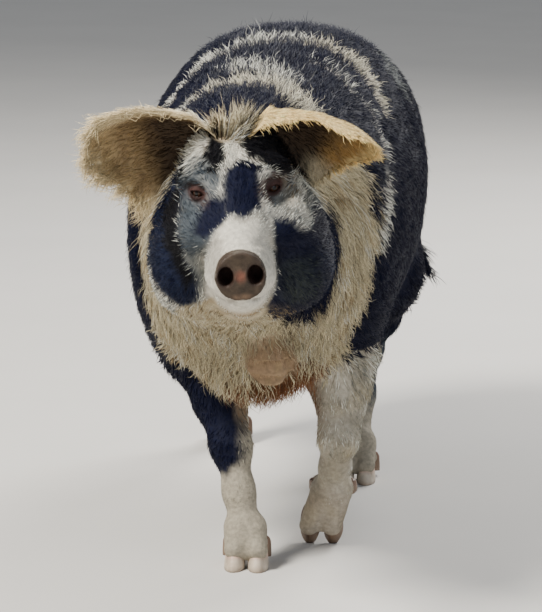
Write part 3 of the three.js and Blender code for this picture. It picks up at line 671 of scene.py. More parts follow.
BODY_PATCHES = [
    # (colour, softness, share of the hairs, place, radii)
    (BLACK_SKY_BLUE, 8, 1.0, (186, -470, 604), (40, 26, 42)),
    (BLACK_SKY_BLUE, 9, 1.0, (-38, -446, 745), (78, 62, 60)),
    (RUST, 26, 0.85, (56, -500, 312), (64, 84, 56)),
    (RUST, 20, 0.6, (-26, -466, 306), (40, 60, 36)),
]
# Outlines across the head: x and z in its frame.
CHEEK_LEFT = [
    (52, 51), (50, 20), (53, -4), (51, -39), (45, -66), (30, -96), (36, -132), (60, -164), (90, -176),
    (128, -168), (150, -132), (156, -100), (150, -50), (140, -12), (127, 12), (113, 32), (107, 15), (91, 26),
    (77, 38), (64, 47),
]
CHEEK_RIGHT = [
    (-68, 116), (-79, 80), (-85, 48), (-85, 20), (-77, -15), (-68, -40), (-64, -66), (-75, -90), (-96, -88),
    (-120, -70), (-140, -40), (-142, 0), (-128, 30), (-118, 60), (-108, 110),
]
CHEEK_BLACK = [
    (-66, 120), (-79, 80), (-85, 48), (-85, 20), (-77, -15), (-68, -44), (-80, -60), (-96, -30), (-108, 0),
    (-112, 40), (-106, 70), (-100, 120),
]
FOREHEAD = [(-12, 112), (-16, 90), (-19, 62), (8, 59), (34, 56), (36, 86), (37, 108), (24, 122), (4, 122)]
BROW_PATCH = [(-12, 84), (-40, 74), (-60, 52), (-66, 30), (-50, 30), (-30, 47), (-14, 60)]
POLL_RIGHT = [(-32, 150), (-13, 148), (-13, 124), (-23, 108), (-34, 108), (-38, 130)]
POLL_LEFT = [(12, 156), (30, 156), (58, 142), (92, 116), (130, 76), (113, 42), (95, 63), (77, 88), (60, 101),
             (45, 111), (32, 119), (20, 127), (10, 134)]
JAW = [(-75, -86), (-46, -76), (-30, -96), (2, -108), (30, -94), (38, -80), (50, -86), (44, -140), (10, -196),
       (-60, -190), (-110, -140), (-98, -92)]
TEMPLE_RIGHT = [(-84, 100), (-60, 116), (-40, 130), (-16, 124), (-18, 90), (-26, 60), (-44, 20), (-70, -6),
                (-84, 10), (-84, 50)]
# The middles and the reach of the dark round the eyes.
LID_SHADES = [((53, 164, 81), 18), ((-56, 160, 77), 15)]
# How far the hairs of two colours blend where a marking has only a share of them.
CRISP, BLURRED = 0.08, 0.5
FACE_MARKS = [
    # (colour, softness, share of the hairs, outline, how far back it reaches)
    (GREY, 12, 0.75, [(-58, 116), (-92, 70), (-96, -40), (-84, -84), (-60, -70), (-54, 0), (-50, 60)], 240),
    # This row and the next, round and under the right eye: partly grey hair, partly painted shade round the
    # sunken eye.
    (SLATE, 10, 0.85, TEMPLE_RIGHT, 226),
    (SLATE, 10, 0.6, [(-76, 60), (-48, 58), (-44, 26), (-56, 0), (-76, 0)], 200),
    (SLATE, 10, 0.45, [(-62, 30), (-30, 44), (-22, 22), (-38, -16), (-60, -10)], 160),
    # Round the left eye: partly grey hair, partly painted shade round the sunken eye.
    (SLATE, 12, 0.75, [(34, 112), (60, 100), (88, 76), (98, 54), (72, 60), (44, 50)], 220),
    (TAN, 10, 0.4, [(60, 96), (84, 84), (92, 60), (76, 50), (64, 70)], 220),
    (GREY, 10, 0.6, [(44, 56), (76, 62), (100, 40), (104, 20), (70, 40), (54, 46)], 200),
    # The right cheek: black hair with a painted reflection of the sky, brighter in this row and weaker in the
    # next.
    (BLACK_BRIGHT_SKY_BLUE, 7, 1.0, CHEEK_RIGHT, 262),
    (BLACK_SKY_BLUE, 16, 0.6, CHEEK_RIGHT, 262),
    (INK, 7, 1.0, CHEEK_BLACK, 240),
    (BLACK_SKY_BLUE, 6, 1.0, FOREHEAD, 176),
    (BLACK_SKY_BLUE, 6, 1.0, BROW_PATCH, 150),
    (INK, 5, 1.0, POLL_RIGHT, 260),
    (INK, 6, 1.0, POLL_LEFT, 300),
    (UMBER, 10, 0.5, [(62, 148), (100, 120), (132, 80), (113, 44), (88, 84)], 300),
    (BLACK_SKY_BLUE, 7, 1.0, CHEEK_LEFT, 330),
    (MOSS, 18, 0.5, [(62, -20), (104, -26), (122, -70), (100, -100), (64, -96), (56, -56)], 260),
    # Black hair with a brighter painted reflection of the sky towards the left cheek's edge.
    (BLACK_BRIGHT_SKY_BLUE, 10, 0.5, [(120, -10), (146, -60), (140, -110), (124, -90), (122, -40)], 330),
    (TAN, 14, 0.3, [(40, -100), (70, -116), (84, -128), (70, -146), (50, -150), (34, -130)], 330),
]


def inside(d, soft):
    """A mask from a distance: 1 well inside, 0 well outside, and twice soft wide between."""
    return 1 - ramp(d, -soft, soft)


def patch(p, c, r):
    return (np.linalg.norm((p - np.asarray(c)) / np.asarray(r), axis=1) - 1) * np.mean(r)


def stroke(p, points):
    return np.min([cone(p, a[:3], b[:3], a[3], b[3]) for a, b in zip(points, points[1:])], 0)


def outside(x, z, outline):
    """The distance outside a closed outline, less than 0 inside it."""
    best, crossings = np.full(len(x), 1e6), np.zeros(len(x), int)
    for (ax, az), (bx, bz) in zip(outline, outline[1:] + outline[:1]):
        ex, ez = bx - ax, bz - az
        t = np.clip(((x - ax) * ex + (z - az) * ez) / (ex * ex + ez * ez), 0, 1)
        best = np.minimum(best, np.hypot(x - ax - t * ex, z - az - t * ez))
        across = (az > z) != (bz > z)
        crossings += across & (x < ax + (z - az) / (ez if ez else 1e-9) * ex)
    return np.where(crossings % 2 == 1, -best, best)


def leg_mask(p, name, reach):
    joints = [(joint, 0) for joint in LEG_LINES[name]]
    return inside(chain(p, joints, 1) - reach, 14)


def paint_trunk(p, w, paint):
    """The stripes, the cream belt, and the patches on shoulders, neck and chest. w is p, warped."""
    for colour, soft, share, points in STRIPES:
        paint(share * inside(stroke(w, points), soft), colour)
    left, right = (np.interp(w[:, 2], BELT[:, 0], BELT[:, n]) for n in (1, 2))
    belt = inside(w[:, 1] - mix(right, left, ramp(p[:, 0], -70, 70)), 12)
    paint(belt, CREAM)
    paint(0.35 * belt * ramp(waves(p, 60, 21), -0.3, 0.5), WHITE)
    paint(0.45 * belt * ramp(waves(p, 44, 23), -0.3, 0.5), TAN)
    paint(0.10 * belt, UMBER)
    for colour, soft, share, place, radii in BODY_PATCHES:
        paint(share * inside(patch(w, place, radii), soft), colour)
    pouch = inside(patch(w, (30, -602, 360), (40, 58, 48)), 14)
    paint(pouch, PINK)
    paint(0.5 * pouch * ramp(waves(p * [1, 1, 0.5], 16, 93), 0, 0.5), TAN)


def paint_legs(p, paint):
    """The right foreleg is dark down to below the knee, the left one pale, and both hind ones pale below."""
    x, y, z = p.T
    right = leg_mask(p, "foreleg_right", 84) * (z < 350)
    paint(right, BLACK_SKY_BLUE)
    inner = right * inside(np.interp(z, [190, 318], [-24, -44]) - x - 7 * waves(p, 40, 31), 12)
    paint(inner, BONE)
    paint(0.8 * inner * ramp(z, 200, 250), FAWN)
    paint(right * inside(z - 158 - 0.7 * (x + 40) + 10 * waves(p, 30, 32), 9), BONE)
    left = leg_mask(p, "foreleg_left", 86) * (z < 345)
    paint(left, BONE)
    paint(0.35 * left * ramp(z, 180, 260), ASH)
    paint(0.5 * left * ramp(waves(p, 70, 36), -0.5, 0.4), WHITE)
    paint(0.3 * left * ramp(-z, -130, -80), PINK)
    paint(0.35 * left * ramp(waves(p, 60, 34), 0, 0.5), CREAM)
    paint(0.85 * left * inside(x - 92 + 0.1 * (z - 260), 16) * inside(215 - z, 40), RUST)
    hind = inside(z - 330, 40) * ramp(y, -20, 60)
    paint(hind * (x > 0) * inside(z - 250 - 20 * waves(p, 60, 33), 40), SLATE)
    paint(hind * inside(z - 130 - 14 * waves(p, 40, 35), 24), BONE)


def paint_head(h, paint):
    """The white face with its dark patches, the cream jaw, the dark lids and the tuft on the poll."""
    _, y, z = h.T
    across, _, up = warped(h, 34, 6, 41).T
    head = inside(y - 258 - 0.12 * z, 20) * (z > -220)
    paint(head, WHITE)
    paint(0.7 * head * ramp(waves(h, 40, 42), -0.6, 0.4) * ramp(y, 84, 124) * ramp(-z, -124, -92), GREY)
    jaw = inside(outside(across, up, JAW), 5) * head * ramp(y, 90, 110)
    paint(0.9 * jaw, CREAM)
    paint(0.5 * jaw * ramp(waves(h * [1, 0.4, 1.6], 22, 43), -0.2, 0.4), TAN)
    paint(0.16 * jaw, UMBER)
    # The chin and lower lip turn tan towards the underside: partly the hair's colour, partly painted shade
    # under the lip.
    paint(0.75 * head * ramp(-z, 62, 92) * ramp(-y, -145, -105), TAN)
    for colour, soft, share, outline, reach in FACE_MARKS:
        mask = inside(outside(across, up, outline), soft) * inside(y - reach, 12)
        paint(share * mask, colour, BLURRED if colour is GREY or colour is SLATE else CRISP)
    for centre, reach in LID_SHADES:
        off = np.linalg.norm((h - centre) / [1.25, 3, 1], axis=1)
        paint(0.85 * inside(off - reach, 8), LID)
    poll = inside(patch(h, (0, 252, 156), (30, 34, 34)), 8)
    paint(0.9 * poll, CREAM)
    paint(0.3 * poll, WHITE)
    return poll


def coat_colour(p, dice=None):
    """The coat's colour at points. With dice, hairs of two colours stand side by side where markings mix."""
    h = into_head(p)
    # The base coat: black hair with a painted blue reflection of the sky.
    c = np.repeat(BLACK_SKY_BLUE[None], len(p), 0)

    def paint(mask, colour, blur=CRISP):
        if dice is not None:
            mask = ramp((1 + 2 * blur) * mask - blur - dice, -blur, blur)
        c[:] = tint(c, colour, mask)

    paint_trunk(p, warped(p, 60, 16, 11), paint)
    paint_legs(p, paint)
    poll = paint_head(h, paint)
    paint(0.3 * poll * ramp(-p[:, 0], -20, 30), GINGER)
    paint(0.25 * poll, UMBER)
    # Painted shade: dark brown hair along the fold under the chin.
    paint(0.9 * inside(tube_distance(h, CHIN_FOLD) - 6.5, 4), UMBER)
    return c


def skin_colour(p):
    """The skin's colours, with the coat's own markings, and how bare it is: 1 on the snout's disc."""
    coat = coat_colour(p)
    # Painted shade under the coat: the skin is 0.8 times the coat's colour under dark hair and 0.88 times a
    # pinker mix under light hair; the pink is the skin's own.
    c = tint(coat * 0.8, mix(coat, PINK, 0.3) * 0.88, ramp(coat.mean(1), 0.05, 0.5))
    h = into_head(p)
    x, y, z = h.T
    r = np.hypot(x, z)
    wide, _, high = NOSTRIL["radii"]
    holes = [np.hypot((x - side * NOSTRIL["apart"]) / wide, (z - NOSTRIL["up"]) / high) for side in (1, -1)]
    leather = tint(srgb(78, 66, 54), srgb(52, 44, 38), 0.5 + 0.5 * waves(h, 16, 61))
    leather = tint(leather, srgb(118, 76, 62), 0.8 * inside(np.hypot(x, (z - 1) / 1.1) - 7, 5))
    leather = tint(leather, srgb(112, 90, 72), 0.6 * inside(np.hypot(x / 1.8, (z + 31) / 0.5) - 9, 7))
    for hole in holes:
        leather = tint(leather, srgb(48, 36, 32), 0.7 * inside(hole - 1.2, 0.4))
    leather = tint(leather, srgb(56, 46, 40), 0.6 * ramp(r, 30, 38))
    bare = inside(np.maximum(r - 38.5, y - 20), 2.2)
    c = tint(c, leather, bare)
    for side, hole in zip((1, -1), holes):
        c = tint(c, srgb(40, 27, 24), inside(hole - 1, 0.22) * (y < 30))
        q = in_eye(h, side)
        lid = inside(np.linalg.norm(q / [1.2, 1, 0.85], axis=1) - 17, 3) * (q[:, 1] > 0)
        c = tint(c, srgb(62, 36, 32), 0.9 * lid)
        rim = inside(np.abs(q[:, 2] + 0.6) - 6.4 * (1 - (q[:, 0] / 14.0) ** 2), 1.4) * lid
        c = tint(c, srgb(26, 15, 14), 0.95 * rim)
    # Painted shade: the skin darkened along the mouth and the fold under the chin.
    mouth = tube_distance(np.stack([np.abs(x), np.abs(y), z], 1), MOUTH)
    mouth = np.minimum(mouth, tube_distance(h, CHIN_FOLD))
    return tint(c, srgb(60, 40, 36), 0.75 * inside(mouth - 2.5, 2)), bare


# ============================================================ ears
EAR = dict(taper_from=0.68, root_share=0.5, full_at=0.55, hang=0.42, curl=80, curl_from=0.55, thick=11)


def ear_point(ear, s, t, lift):
    """A point of an ear's sheet, as the solids have it: s from root to tip, t from upper edge to lower."""
    root, face = np.array(ear["root"], float), np.array(ear["face"], float)
    side = np.sign(root[0])
    sweep, leaving = math.radians(ear["sweep"]), math.radians(ear["lift"])
    sag = np.radians(ear["lift"] - ear["sag"] * s)
    outward = np.array([side * math.cos(sweep), math.sin(sweep), 0])
    along = unit(outward * np.cos(sag)[:, None] * [1, 1, 0] + np.sin(sag)[:, None] * [0, 0, 1])
    hollow = unit(face - along * (along @ face)[:, None])
    across = np.cross(along, hollow) * side
    share = mix(EAR["root_share"], 1, np.sin(math.pi / 2 * np.clip(s / EAR["full_at"], 0, 1)))
    past = np.maximum(s - EAR["taper_from"], 0) / (1 - EAR["taper_from"])
    half = ear["half"] * share * np.sqrt(np.maximum(1 - past**2 * (1 - ear["tip"] ** 2), 0.01))
    cup = np.radians(mix(ear["cup"][0], ear["cup"][1], np.clip(s, 0, 1)))
    radius = 2 * half / cup
    turn = t * cup / 2 + math.radians(EAR["curl"]) * np.maximum(t - EAR["curl_from"], 0) * s
    place = root + outward * (ear["length"] * s * np.cos(sag / 2))[:, None]
    place = place + (ear["length"] * s * np.sin((leaving + sag) / 2))[:, None] * [0, 0, 1]
    place = place + across * ((radius - lift) * np.sin(turn))[:, None]
    return place + hollow * (radius - half * EAR["hang"] - (radius - lift) * np.cos(turn))[:, None]


def ear_mesh(ear, rows=54, columns=48):
    """A closed sheet that starts inside the head: its points and quads, and each point's s, t and face."""
    i, j = np.meshgrid(np.arange(rows + 1), np.arange(columns + 1), indexing="ij")
    s, t = (mix(-0.12, 1, i / rows)).reshape(-1), (2 * j / columns - 1).reshape(-1)
    rim = 1 - 0.62 * np.maximum(np.abs(t) ** 3, np.clip(s, 0, 1) ** 4)
    thick = EAR["thick"] / 2 * rim * mix(1.5, 1, np.clip(3 * s, 0, 1)) - 2.2
    rounded = 1 - 5 * np.maximum(s - 0.75, 0) ** 2 * t * t
    if ear["root"][0] > 0:  # the left ear's upper edge dips
        rounded -= 0.26 * bell(s - 0.40, 0.22) * np.maximum(-t, 0) ** 2
    out = s * (1 - 0.2 * s * s * t * t)
    points = np.concatenate([ear_point(ear, out, t * rounded, f * np.maximum(thick, 0.9)) for f in (-1, 1)])
    points[:, 2] -= np.tile(34 * (np.clip(0.07 - s, 0, 1) / 0.19) ** 1.3, 2)
    ripple = 1.6 * waves(points, 46, 71)[:, None] * np.clip(np.tile(s, 2), 0, 1)[:, None]
    points = out_of_head(points + ripple * unit(np.array(ear["face"], float)))
    ids = np.arange(2 * (rows + 1) * (columns + 1)).reshape(2, rows + 1, columns + 1)

    def sheet(a):
        return np.stack([a[:-1, :-1], a[:-1, 1:], a[1:, 1:], a[1:, :-1]], -1).reshape(-1, 4)

    rims = [
        np.stack([ids[0, :-1, 0], ids[0, 1:, 0], ids[1, 1:, 0], ids[1, :-1, 0]], -1),
        np.stack([ids[0, :-1, -1], ids[1, :-1, -1], ids[1, 1:, -1], ids[0, 1:, -1]], -1),
        np.stack([ids[0, 0, :-1], ids[1, 0, :-1], ids[1, 0, 1:], ids[0, 0, 1:]], -1),
        np.stack([ids[0, -1, :-1], ids[0, -1, 1:], ids[1, -1, 1:], ids[1, -1, :-1]], -1),
    ]
    quads = np.concatenate([sheet(ids[0]), sheet(ids[1])[:, ::-1], *rims])
    if ear["root"][0] > 0:
        quads = quads[:, ::-1]
    face = np.repeat([-1.0, 1.0], (rows + 1) * (columns + 1))
    return points, quads, np.tile(s, 2), np.tile(t, 2), face


def left_fluff_and_painted_sun(s):
    """Where the left ear's inner face turns golden, partly as hair and partly as painted sunlight, measured
    up from its middle: widest near the root.
    """
    low = mix(0.02, 0.62, ramp(s, 0.22, 0.62))
    return low, low + 0.18


def ear_colour(ear, s, t, face, p):
    """Golden outside and along the upper edge, tan inside, and painted shade in dark brown far in the hollow
    near the root. On the left ear the gold is partly painted sunlight, and the inner face darkens towards the
    root partly as painted shade.
    """
    left = ear["root"][0] > 0
    outer = tint(srgb(236, 228, 204), GOLD, 0.7 * ramp(waves(p, 50, 51), -0.2, 0.5))
    outer = tint(outer, srgb(150, 142, 124), 0.5 * inside(np.abs(s - 0.4) - 0.2, 0.12) * ramp(-t, -0.6, 0.2))
    lower = np.clip(t, 0, 1)
    if left:
        # The inner face is darker towards the root and the upper edge: partly brown hair, partly painted
        # shade under the ear and its rim.
        inner = tint(srgb(76, 56, 36), srgb(176, 138, 80), ramp(s + 0.25 * lower, 0.45, 1.0))
        # The outer face and a band of the inner face below the upper edge turn golden: partly golden hair,
        # partly painted sunlight.
        golden = np.where(face > 0, ramp(-t, *left_fluff_and_painted_sun(s)), 1.0)
    else:
        inner = tint(srgb(130, 106, 72), srgb(184, 160, 118), ramp(s, 0.4, 0.95))
        golden = np.where(face > 0, ramp(-t, 0.5, 0.75), ramp(-t, 0.62, 0.86))
    inner = tint(inner, srgb(92, 70, 48), 0.6 * ramp(waves(p * [1, 1, 2.5], 26, 52), 0, 0.5))
    # Painted shade: dark brown far in the hollow, near the root and away from the upper edge.
    hollow_shade = inside(s - (0.6 if left else 0.5) - 0.12 * lower, 0.16) * inside(-t - 0.5, 0.2)
    inner = tint(inner, UMBER * 0.6, 0.95 * hollow_shade)
    c = np.where(face[:, None] > 0, inner, outer)
    tip = ramp(s, 0.86, 0.97)
    c = tint(c, mix(GOLD, IVORY, 0.15 if left else 0.6), 0.9 * np.maximum(golden, tip))
    edge = tint(INK, CREAM, ramp(s, 0.45, 0.7))
    return tint(c, edge, 0.9 * ramp(t, 0.62, 0.86) * (1 - tip))


def quad_normals(points, quads):
    """Directions at points, averaged from the faces round them."""
    p = points[quads]
    n = np.cross(p[:, 2] - p[:, 0], p[:, 3] - p[:, 1])
    total = np.zeros_like(points)
    for k in range(4):
        np.add.at(total, quads[:, k], n)
    return unit(total)


# ============================================================ materials
NOISE, CELLS = "ShaderNodeTexNoise", "ShaderNodeTexVoronoi"
EVEN = (1, 1, 1)
# kind, scale, detail, stretch, strength, depth in metres
SKIN_BUMPS = [
    (NOISE, 120, 4, EVEN, 0.5, 0.003),
    (CELLS, 520, 3, EVEN, 0.35, 0.0012),
    (NOISE, 900, 6, EVEN, 0.3, 0.0008),
]
HAIR_BUMPS = [(NOISE, 1400, 2, EVEN, 0.35, 0.0006)]
CLAW_BUMPS = [(NOISE, 60, 4, (0.3, 0.3, 6), 0.5, 0.0015), (NOISE, 500, 5, EVEN, 0.35, 0.0006)]


def node(tree, kind, **values):
    made = tree.nodes.new(kind)
    for key, value in values.items():
        if key in made.inputs:
            made.inputs[key].default_value = value
        else:
            setattr(made, key, value)
    return made


def texture(tree, kind, scale, detail=3.0, stretch=(1, 1, 1)):
    """A noise or cell texture in the object's own coordinates."""
    place = node(tree, "ShaderNodeTexCoord")
    scaling = node(tree, "ShaderNodeMapping")
    scaling.inputs["Scale"].default_value = stretch
    made = node(tree, kind, Scale=scale)
    if "Detail" in made.inputs:
        made.inputs["Detail"].default_value = detail
    tree.links.new(place.outputs["Object"], scaling.inputs["Vector"])
    tree.links.new(scaling.outputs["Vector"], made.inputs["Vector"])
    return made


def varied(tree, colour, amount, scale, detail=3.0, stretch=(1, 1, 1)):
    """A colour made lighter and darker by noise."""
    noise = texture(tree, NOISE, scale, detail, stretch)
    spread = node(tree, "ShaderNodeMapRange")
    spread.inputs["To Min"].default_value, spread.inputs["To Max"].default_value = 1 - amount, 1 + amount
    spread.inputs["From Min"].default_value, spread.inputs["From Max"].default_value = 0.3, 0.7
    product = node(tree, "ShaderNodeVectorMath", operation="MULTIPLY")
    tree.links.new(noise.outputs["Fac"], spread.inputs["Value"])
    tree.links.new(colour, product.inputs[0])
    tree.links.new(spread.outputs["Result"], product.inputs[1])
    return product.outputs["Vector"]


def roughen(tree, shader, layers):
    """Bumps from several textures: (kind, scale, detail, stretch, strength, depth in metres)."""
    last = None
    for kind, scale, detail, stretch, strength, depth in layers:
        height = texture(tree, kind, scale, detail, stretch).outputs["Distance" if kind == CELLS else "Fac"]
        bump = node(tree, "ShaderNodeBump", Strength=strength, Distance=depth)
        tree.links.new(height, bump.inputs["Height"])
        if last:
            tree.links.new(last, bump.inputs["Normal"])
        last = bump.outputs["Normal"]
    if last:
        tree.links.new(last, shader.inputs["Normal"])


def surface(name, spread, layers, values, plain=None):
    """A material with the piece's own colours, or a plain one, varied by noise and roughened by bumps."""
    made = bpy.data.materials.new(name)
    made.use_nodes = True
    tree = made.node_tree
    shader = tree.nodes["Principled BSDF"]
    if plain:
        colour = node(tree, "ShaderNodeRGB").outputs[0]
        colour.default_value = plain
    else:
        colour = node(tree, "ShaderNodeAttribute", attribute_name="Coat").outputs["Color"]
    tree.links.new(varied(tree, colour, *spread), shader.inputs["Base Color"])
    roughen(tree, shader, layers)
    for key, value in values.items():
        shader.inputs[key].default_value = value
    return made


def skin_surface():
    """Skin: dull under the coat, and smoother on the bare disc of the snout."""
    made = surface("skin", (0.22, 160, 5), SKIN_BUMPS, {"Specular IOR Level": 0.15})
    tree = made.node_tree
    rough = node(tree, "ShaderNodeMapRange")
    rough.inputs["To Min"].default_value = 0.72
    rough.inputs["To Max"].default_value = 0.36
    bare = node(tree, "ShaderNodeAttribute", attribute_name="Bare")
    tree.links.new(bare.outputs["Fac"], rough.inputs["Value"])
    tree.links.new(rough.outputs["Result"], tree.nodes["Principled BSDF"].inputs["Roughness"])
    return made


def hair_surface(name, rough):
    return surface(name, (0.25, 420, 2), HAIR_BUMPS, {"Roughness": rough, "Specular IOR Level": 0.1})


# ============================================================ the skin
def build_whole_skin():
    """The body's skin. Its faces are split in four on the head, and again on the feet and round the eyes."""
    points, quads = field_mesh()
    others = []
    h = into_head(points)[quads].mean(1)
    points, quads, others = refine(points, quads, others, (h[:, 1] < 300) & (h[:, 2] > -190))
    h = into_head(points)[quads].mean(1)
    near = points[quads][:, :, 2].mean(1) < FEET_BELOW
    for side in (1, -1):
        near |= np.linalg.norm(h - [side * LIDS_MIDDLE[0], *LIDS_MIDDLE[1:]], axis=1) < LIDS_REACH
    points, quads, others = refine(points, quads, others, near)
    points, normals = settle(points)
    return points, normals, quads, others


points, normals, quads, others = build_whole_skin()
colour, bare = skin_colour(points)
skin_parts = [(points, normals, quads, colour, bare)]
ear_parts = {}
for name, ear in EARS.items():
    p, q, s, t, face = ear_mesh(ear)
    c = ear_colour(ear, s, t, face, p)
    n = quad_normals(p, q)
    ear_parts[name] = (p, n, q, s, t, face, c)
    # The ear's skin under its hair: a little pinker, and painted shade at 0.7 times the hair's colour.
    skin_parts.append((p, n, q, mix(c, PINK, 0.15) * 0.7, np.zeros(len(p))))
offsets = np.cumsum([0] + [len(part[0]) for part in skin_parts])
all_points = np.concatenate([part[0] for part in skin_parts])
all_quads = np.concatenate([part[2] + o for part, o in zip(skin_parts, offsets)])
skin_mesh = mesh_from("skin", all_points, all_quads, others)
set_colour(skin_mesh, "Coat", np.concatenate([part[3] for part in skin_parts]))
set_value(skin_mesh, "Bare", np.concatenate([part[4] for part in skin_parts]))
legs = [f"{kind}_{side}" for kind in ("foreleg", "hindleg") for side in ("left", "right")]
flesh = ["head", "snout", "neck", "trunk", "tail", "ear_left", "ear_right", *legs]
add_piece("skin", skin_mesh, skin_surface(), flesh)


# ============================================================ eyes and claws
def lathe_faces(rings, around):
    """Quads between rings of points, and a face over each end."""
    r, a = np.meshgrid(np.arange(rings - 1), np.arange(around), indexing="ij")
    b = (a + 1) % around
    quads = np.stack([r * around + a, r * around + b, (r + 1) * around + b, (r + 1) * around + a], -1)
    ends = [list(range(around))[::-1], list(range((rings - 1) * around, rings * around))]
    return quads.reshape(-1, 4), ends


def lathe_grid(low, high, rings, around):
    """For each point of a lathe's rings: a value from low to high along the axis, and the angle round it."""
    angles = np.arange(around) * 2 * math.pi / around
    grid = np.meshgrid(np.linspace(low, high, rings), angles, indexing="ij")
    return [values.reshape(-1) for values in grid]


EYE_RINGS, EYE_AROUND = 40, 48
CLAW_RINGS, CLAW_AROUND = 14, 32


def eye_ball(side):
    """A ball with a cornea, round the eye's own forward axis, and its colours."""
    polar, angle = lathe_grid(0.02, math.pi - 0.02, EYE_RINGS, EYE_AROUND)
    radius = EYE_RADIUS - 0.9 + 0.7 * np.exp(-((polar / 0.55) ** 4))
    q = np.stack([np.sin(polar) * np.cos(angle), np.cos(polar), np.sin(polar) * np.sin(angle)], 1)
    place = np.array([side * EYE_AT[0], *EYE_AT[1:]])
    p = out_of_head((q * radius[:, None]) @ eye_axes(side).T + place)
    iris = tint(srgb(64, 36, 20), srgb(38, 20, 12), ramp(polar, 0.3, 0.62))
    c = tint(srgb(8, 6, 6), iris, ramp(polar, 0.26, 0.34))
    return p, tint(c, srgb(92, 66, 56), ramp(polar, 0.66, 0.8))


eye_material = surface("eye", (0.15, 900, 3), [], {
    "Roughness": 0.22, "Specular IOR Level": 0.2, "Coat Weight": 0.16, "Coat Roughness": 0.04,
})
for name, side in (("left", 1), ("right", -1)):
    p, c = eye_ball(side)
    faces, ends = lathe_faces(EYE_RINGS, EYE_AROUND)
    mesh = mesh_from(f"eyeball_{name}", p, faces[:, ::-1], [end[::-1] for end in ends])
    set_colour(mesh, "Coat", c)
    add_piece(f"eyeball_{name}", mesh, eye_material, [f"eye_{name}"])


def claw_points(shape, side):
    """The solids' claw with more rings, a rounded crown and a blunt worn edge."""
    up, angle = lathe_grid(0, 1, CLAW_RINGS, CLAW_AROUND)
    forward, sideways = -np.cos(angle), np.sign(np.sin(angle)) * np.abs(np.sin(angle)) ** 0.85
    edge = 1 - 0.06 * np.clip(1 - up * 7, 0, 1) ** 2
    shrink = (1 - 0.16 * up * up) * edge * (1 - 0.25 * ramp(up, 0.8, 1) ** 2)
    to_cleft = sideways * side < 0
    flat = mix(1.0, np.where(to_cleft, 0.96, 1.03), ramp(np.abs(sideways), 0, 0.5))
    pointed = np.where(forward < 0, 1 - np.where(to_cleft, 0.08, 0.32) * forward**2, 1.0)
    grown = 0.985 * shrink * (1 + 0.012 * np.sin(up * 34))
    x = shape["half"] * grown * flat * pointed * sideways
    y = shape["length"] / 2 * grown * forward + shape["lean"] * shape["height"] * up
    return np.stack([x, y, up * shape["height"] * (1 - 0.16 * forward)], 1)


def claw_colour(p, tones):
    up, _ = lathe_grid(0, 1, CLAW_RINGS, CLAW_AROUND)
    sides, streaks, coronet = tones
    c = tint(sides, streaks, 0.5 + 0.5 * waves(p, 30, 81))
    c = tint(c, coronet, 0.8 * ramp(up, 0.45, 0.75))
    return tint(c, streaks * 0.6, 0.6 * inside(p[:, 2] - 4, 4))


def claws_of(leg, side):
    """The points of the claw and of the dewclaw on one side of a foot."""
    claw = claw_points(CLAW, side) @ turn_z(side * TOE_IN).T @ foot_axes(leg).T
    claw = claw + in_foot(leg, side * TOE["apart"], "claw")
    dewclaw = claw_points(DEWCLAW, side) @ turn_x(stance(leg)["dewclaw_lean"]).T
    dewclaw = dewclaw + behind_fetlock(leg, side * DEWCLAW_APART, "dewclaw")
    return {"claw": claw, "dewclaw": dewclaw}


CLAW_TONES = dict(
    # sides, streaks, coronet
    pale=(srgb(206, 196, 180), srgb(158, 138, 118), srgb(196, 152, 134)),
    brown=(srgb(132, 108, 86), srgb(90, 70, 54), srgb(112, 84, 68)),
)
claw_material = surface("claw", (0.22, 90, 5, (1, 1, 0.25)), CLAW_BUMPS, {"Roughness": 0.5})
for kind, pair in (("foreleg", FORELEGS), ("hindleg", HINDLEGS)):
    for name, leg in pair.items():
        outward = 1 if name == "left" else -1
        for where, side in (("inner", -outward), ("outer", outward)):
            for part, p in claws_of(leg, side).items():
                p[:, 2] = np.maximum(p[:, 2], 0)
                tones = CLAW_TONES["brown" if part == "dewclaw" or leg.get("tip_toe") else "pale"]
                label = f"{kind}_{name}_{part}_{where}"
                mesh = mesh_from(f"{label}_horn", p, *lathe_faces(CLAW_RINGS, CLAW_AROUND))
                set_colour(mesh, "Coat", claw_colour(p, tones))
                add_piece(f"{label}_horn", mesh, claw_material, [label])


# ============================================================ the coat
# Length and width in mm, tufts to a square centimetre, lift off the skin in degrees, wave in mm.
COATS = dict(
    trunk=(28, 1.6, 4.4, 6, 1.0),
    crest=(36, 1.3, 4.8, 14, 4.0),
    belly=(30, 2.4, 2.2, 10, 1.0),
    belt=(36, 1.35, 5.8, 12, 5.0),
    chest=(42, 1.4, 5.4, 16, 5.0),
    thigh=(14, 1.5, 7.0, 7, 0.5),
    shank=(8, 1.2, 9.5, 7, 0.3),
    foot=(5, 1.0, 11.0, 7, 0.1),
    jowl=(22, 1.4, 9.0, 12, 1.4),
    cheek=(17, 1.25, 11.5, 11, 1.0),
    face=(12, 1.1, 13.0, 10, 0.6),
    muzzle=(5, 0.8, 15.0, 8, 0.0),
    poll=(44, 1.2, 20.0, 54, 3.0),
    pouch=(10, 0.8, 3.4, 8, 1.4),
    tail=(14, 1.5, 7.0, 10, 0.6),
    tassel=(32, 1.5, 10.0, 14, 3.0),
    hollow=(13, 1.2, 7.0, 12, 0.8),
    ear=(16, 1.4, 8.0, 9, 1.0),
    ear_rim_left=(15, 1.3, 12.0, 8, 2.0),
    ear_rim_right=(32, 1.3, 14.0, 9, 10.0),
)
LONG_HAIR, SHORT_HAIR = 3, 2  # rings of points along a tuft, before its tip
GIRTH = {LONG_HAIR: (0.34, 0.5, 0.36), SHORT_HAIR: (0.46, 0.40)}  # a tuft's radii, as shares of its width
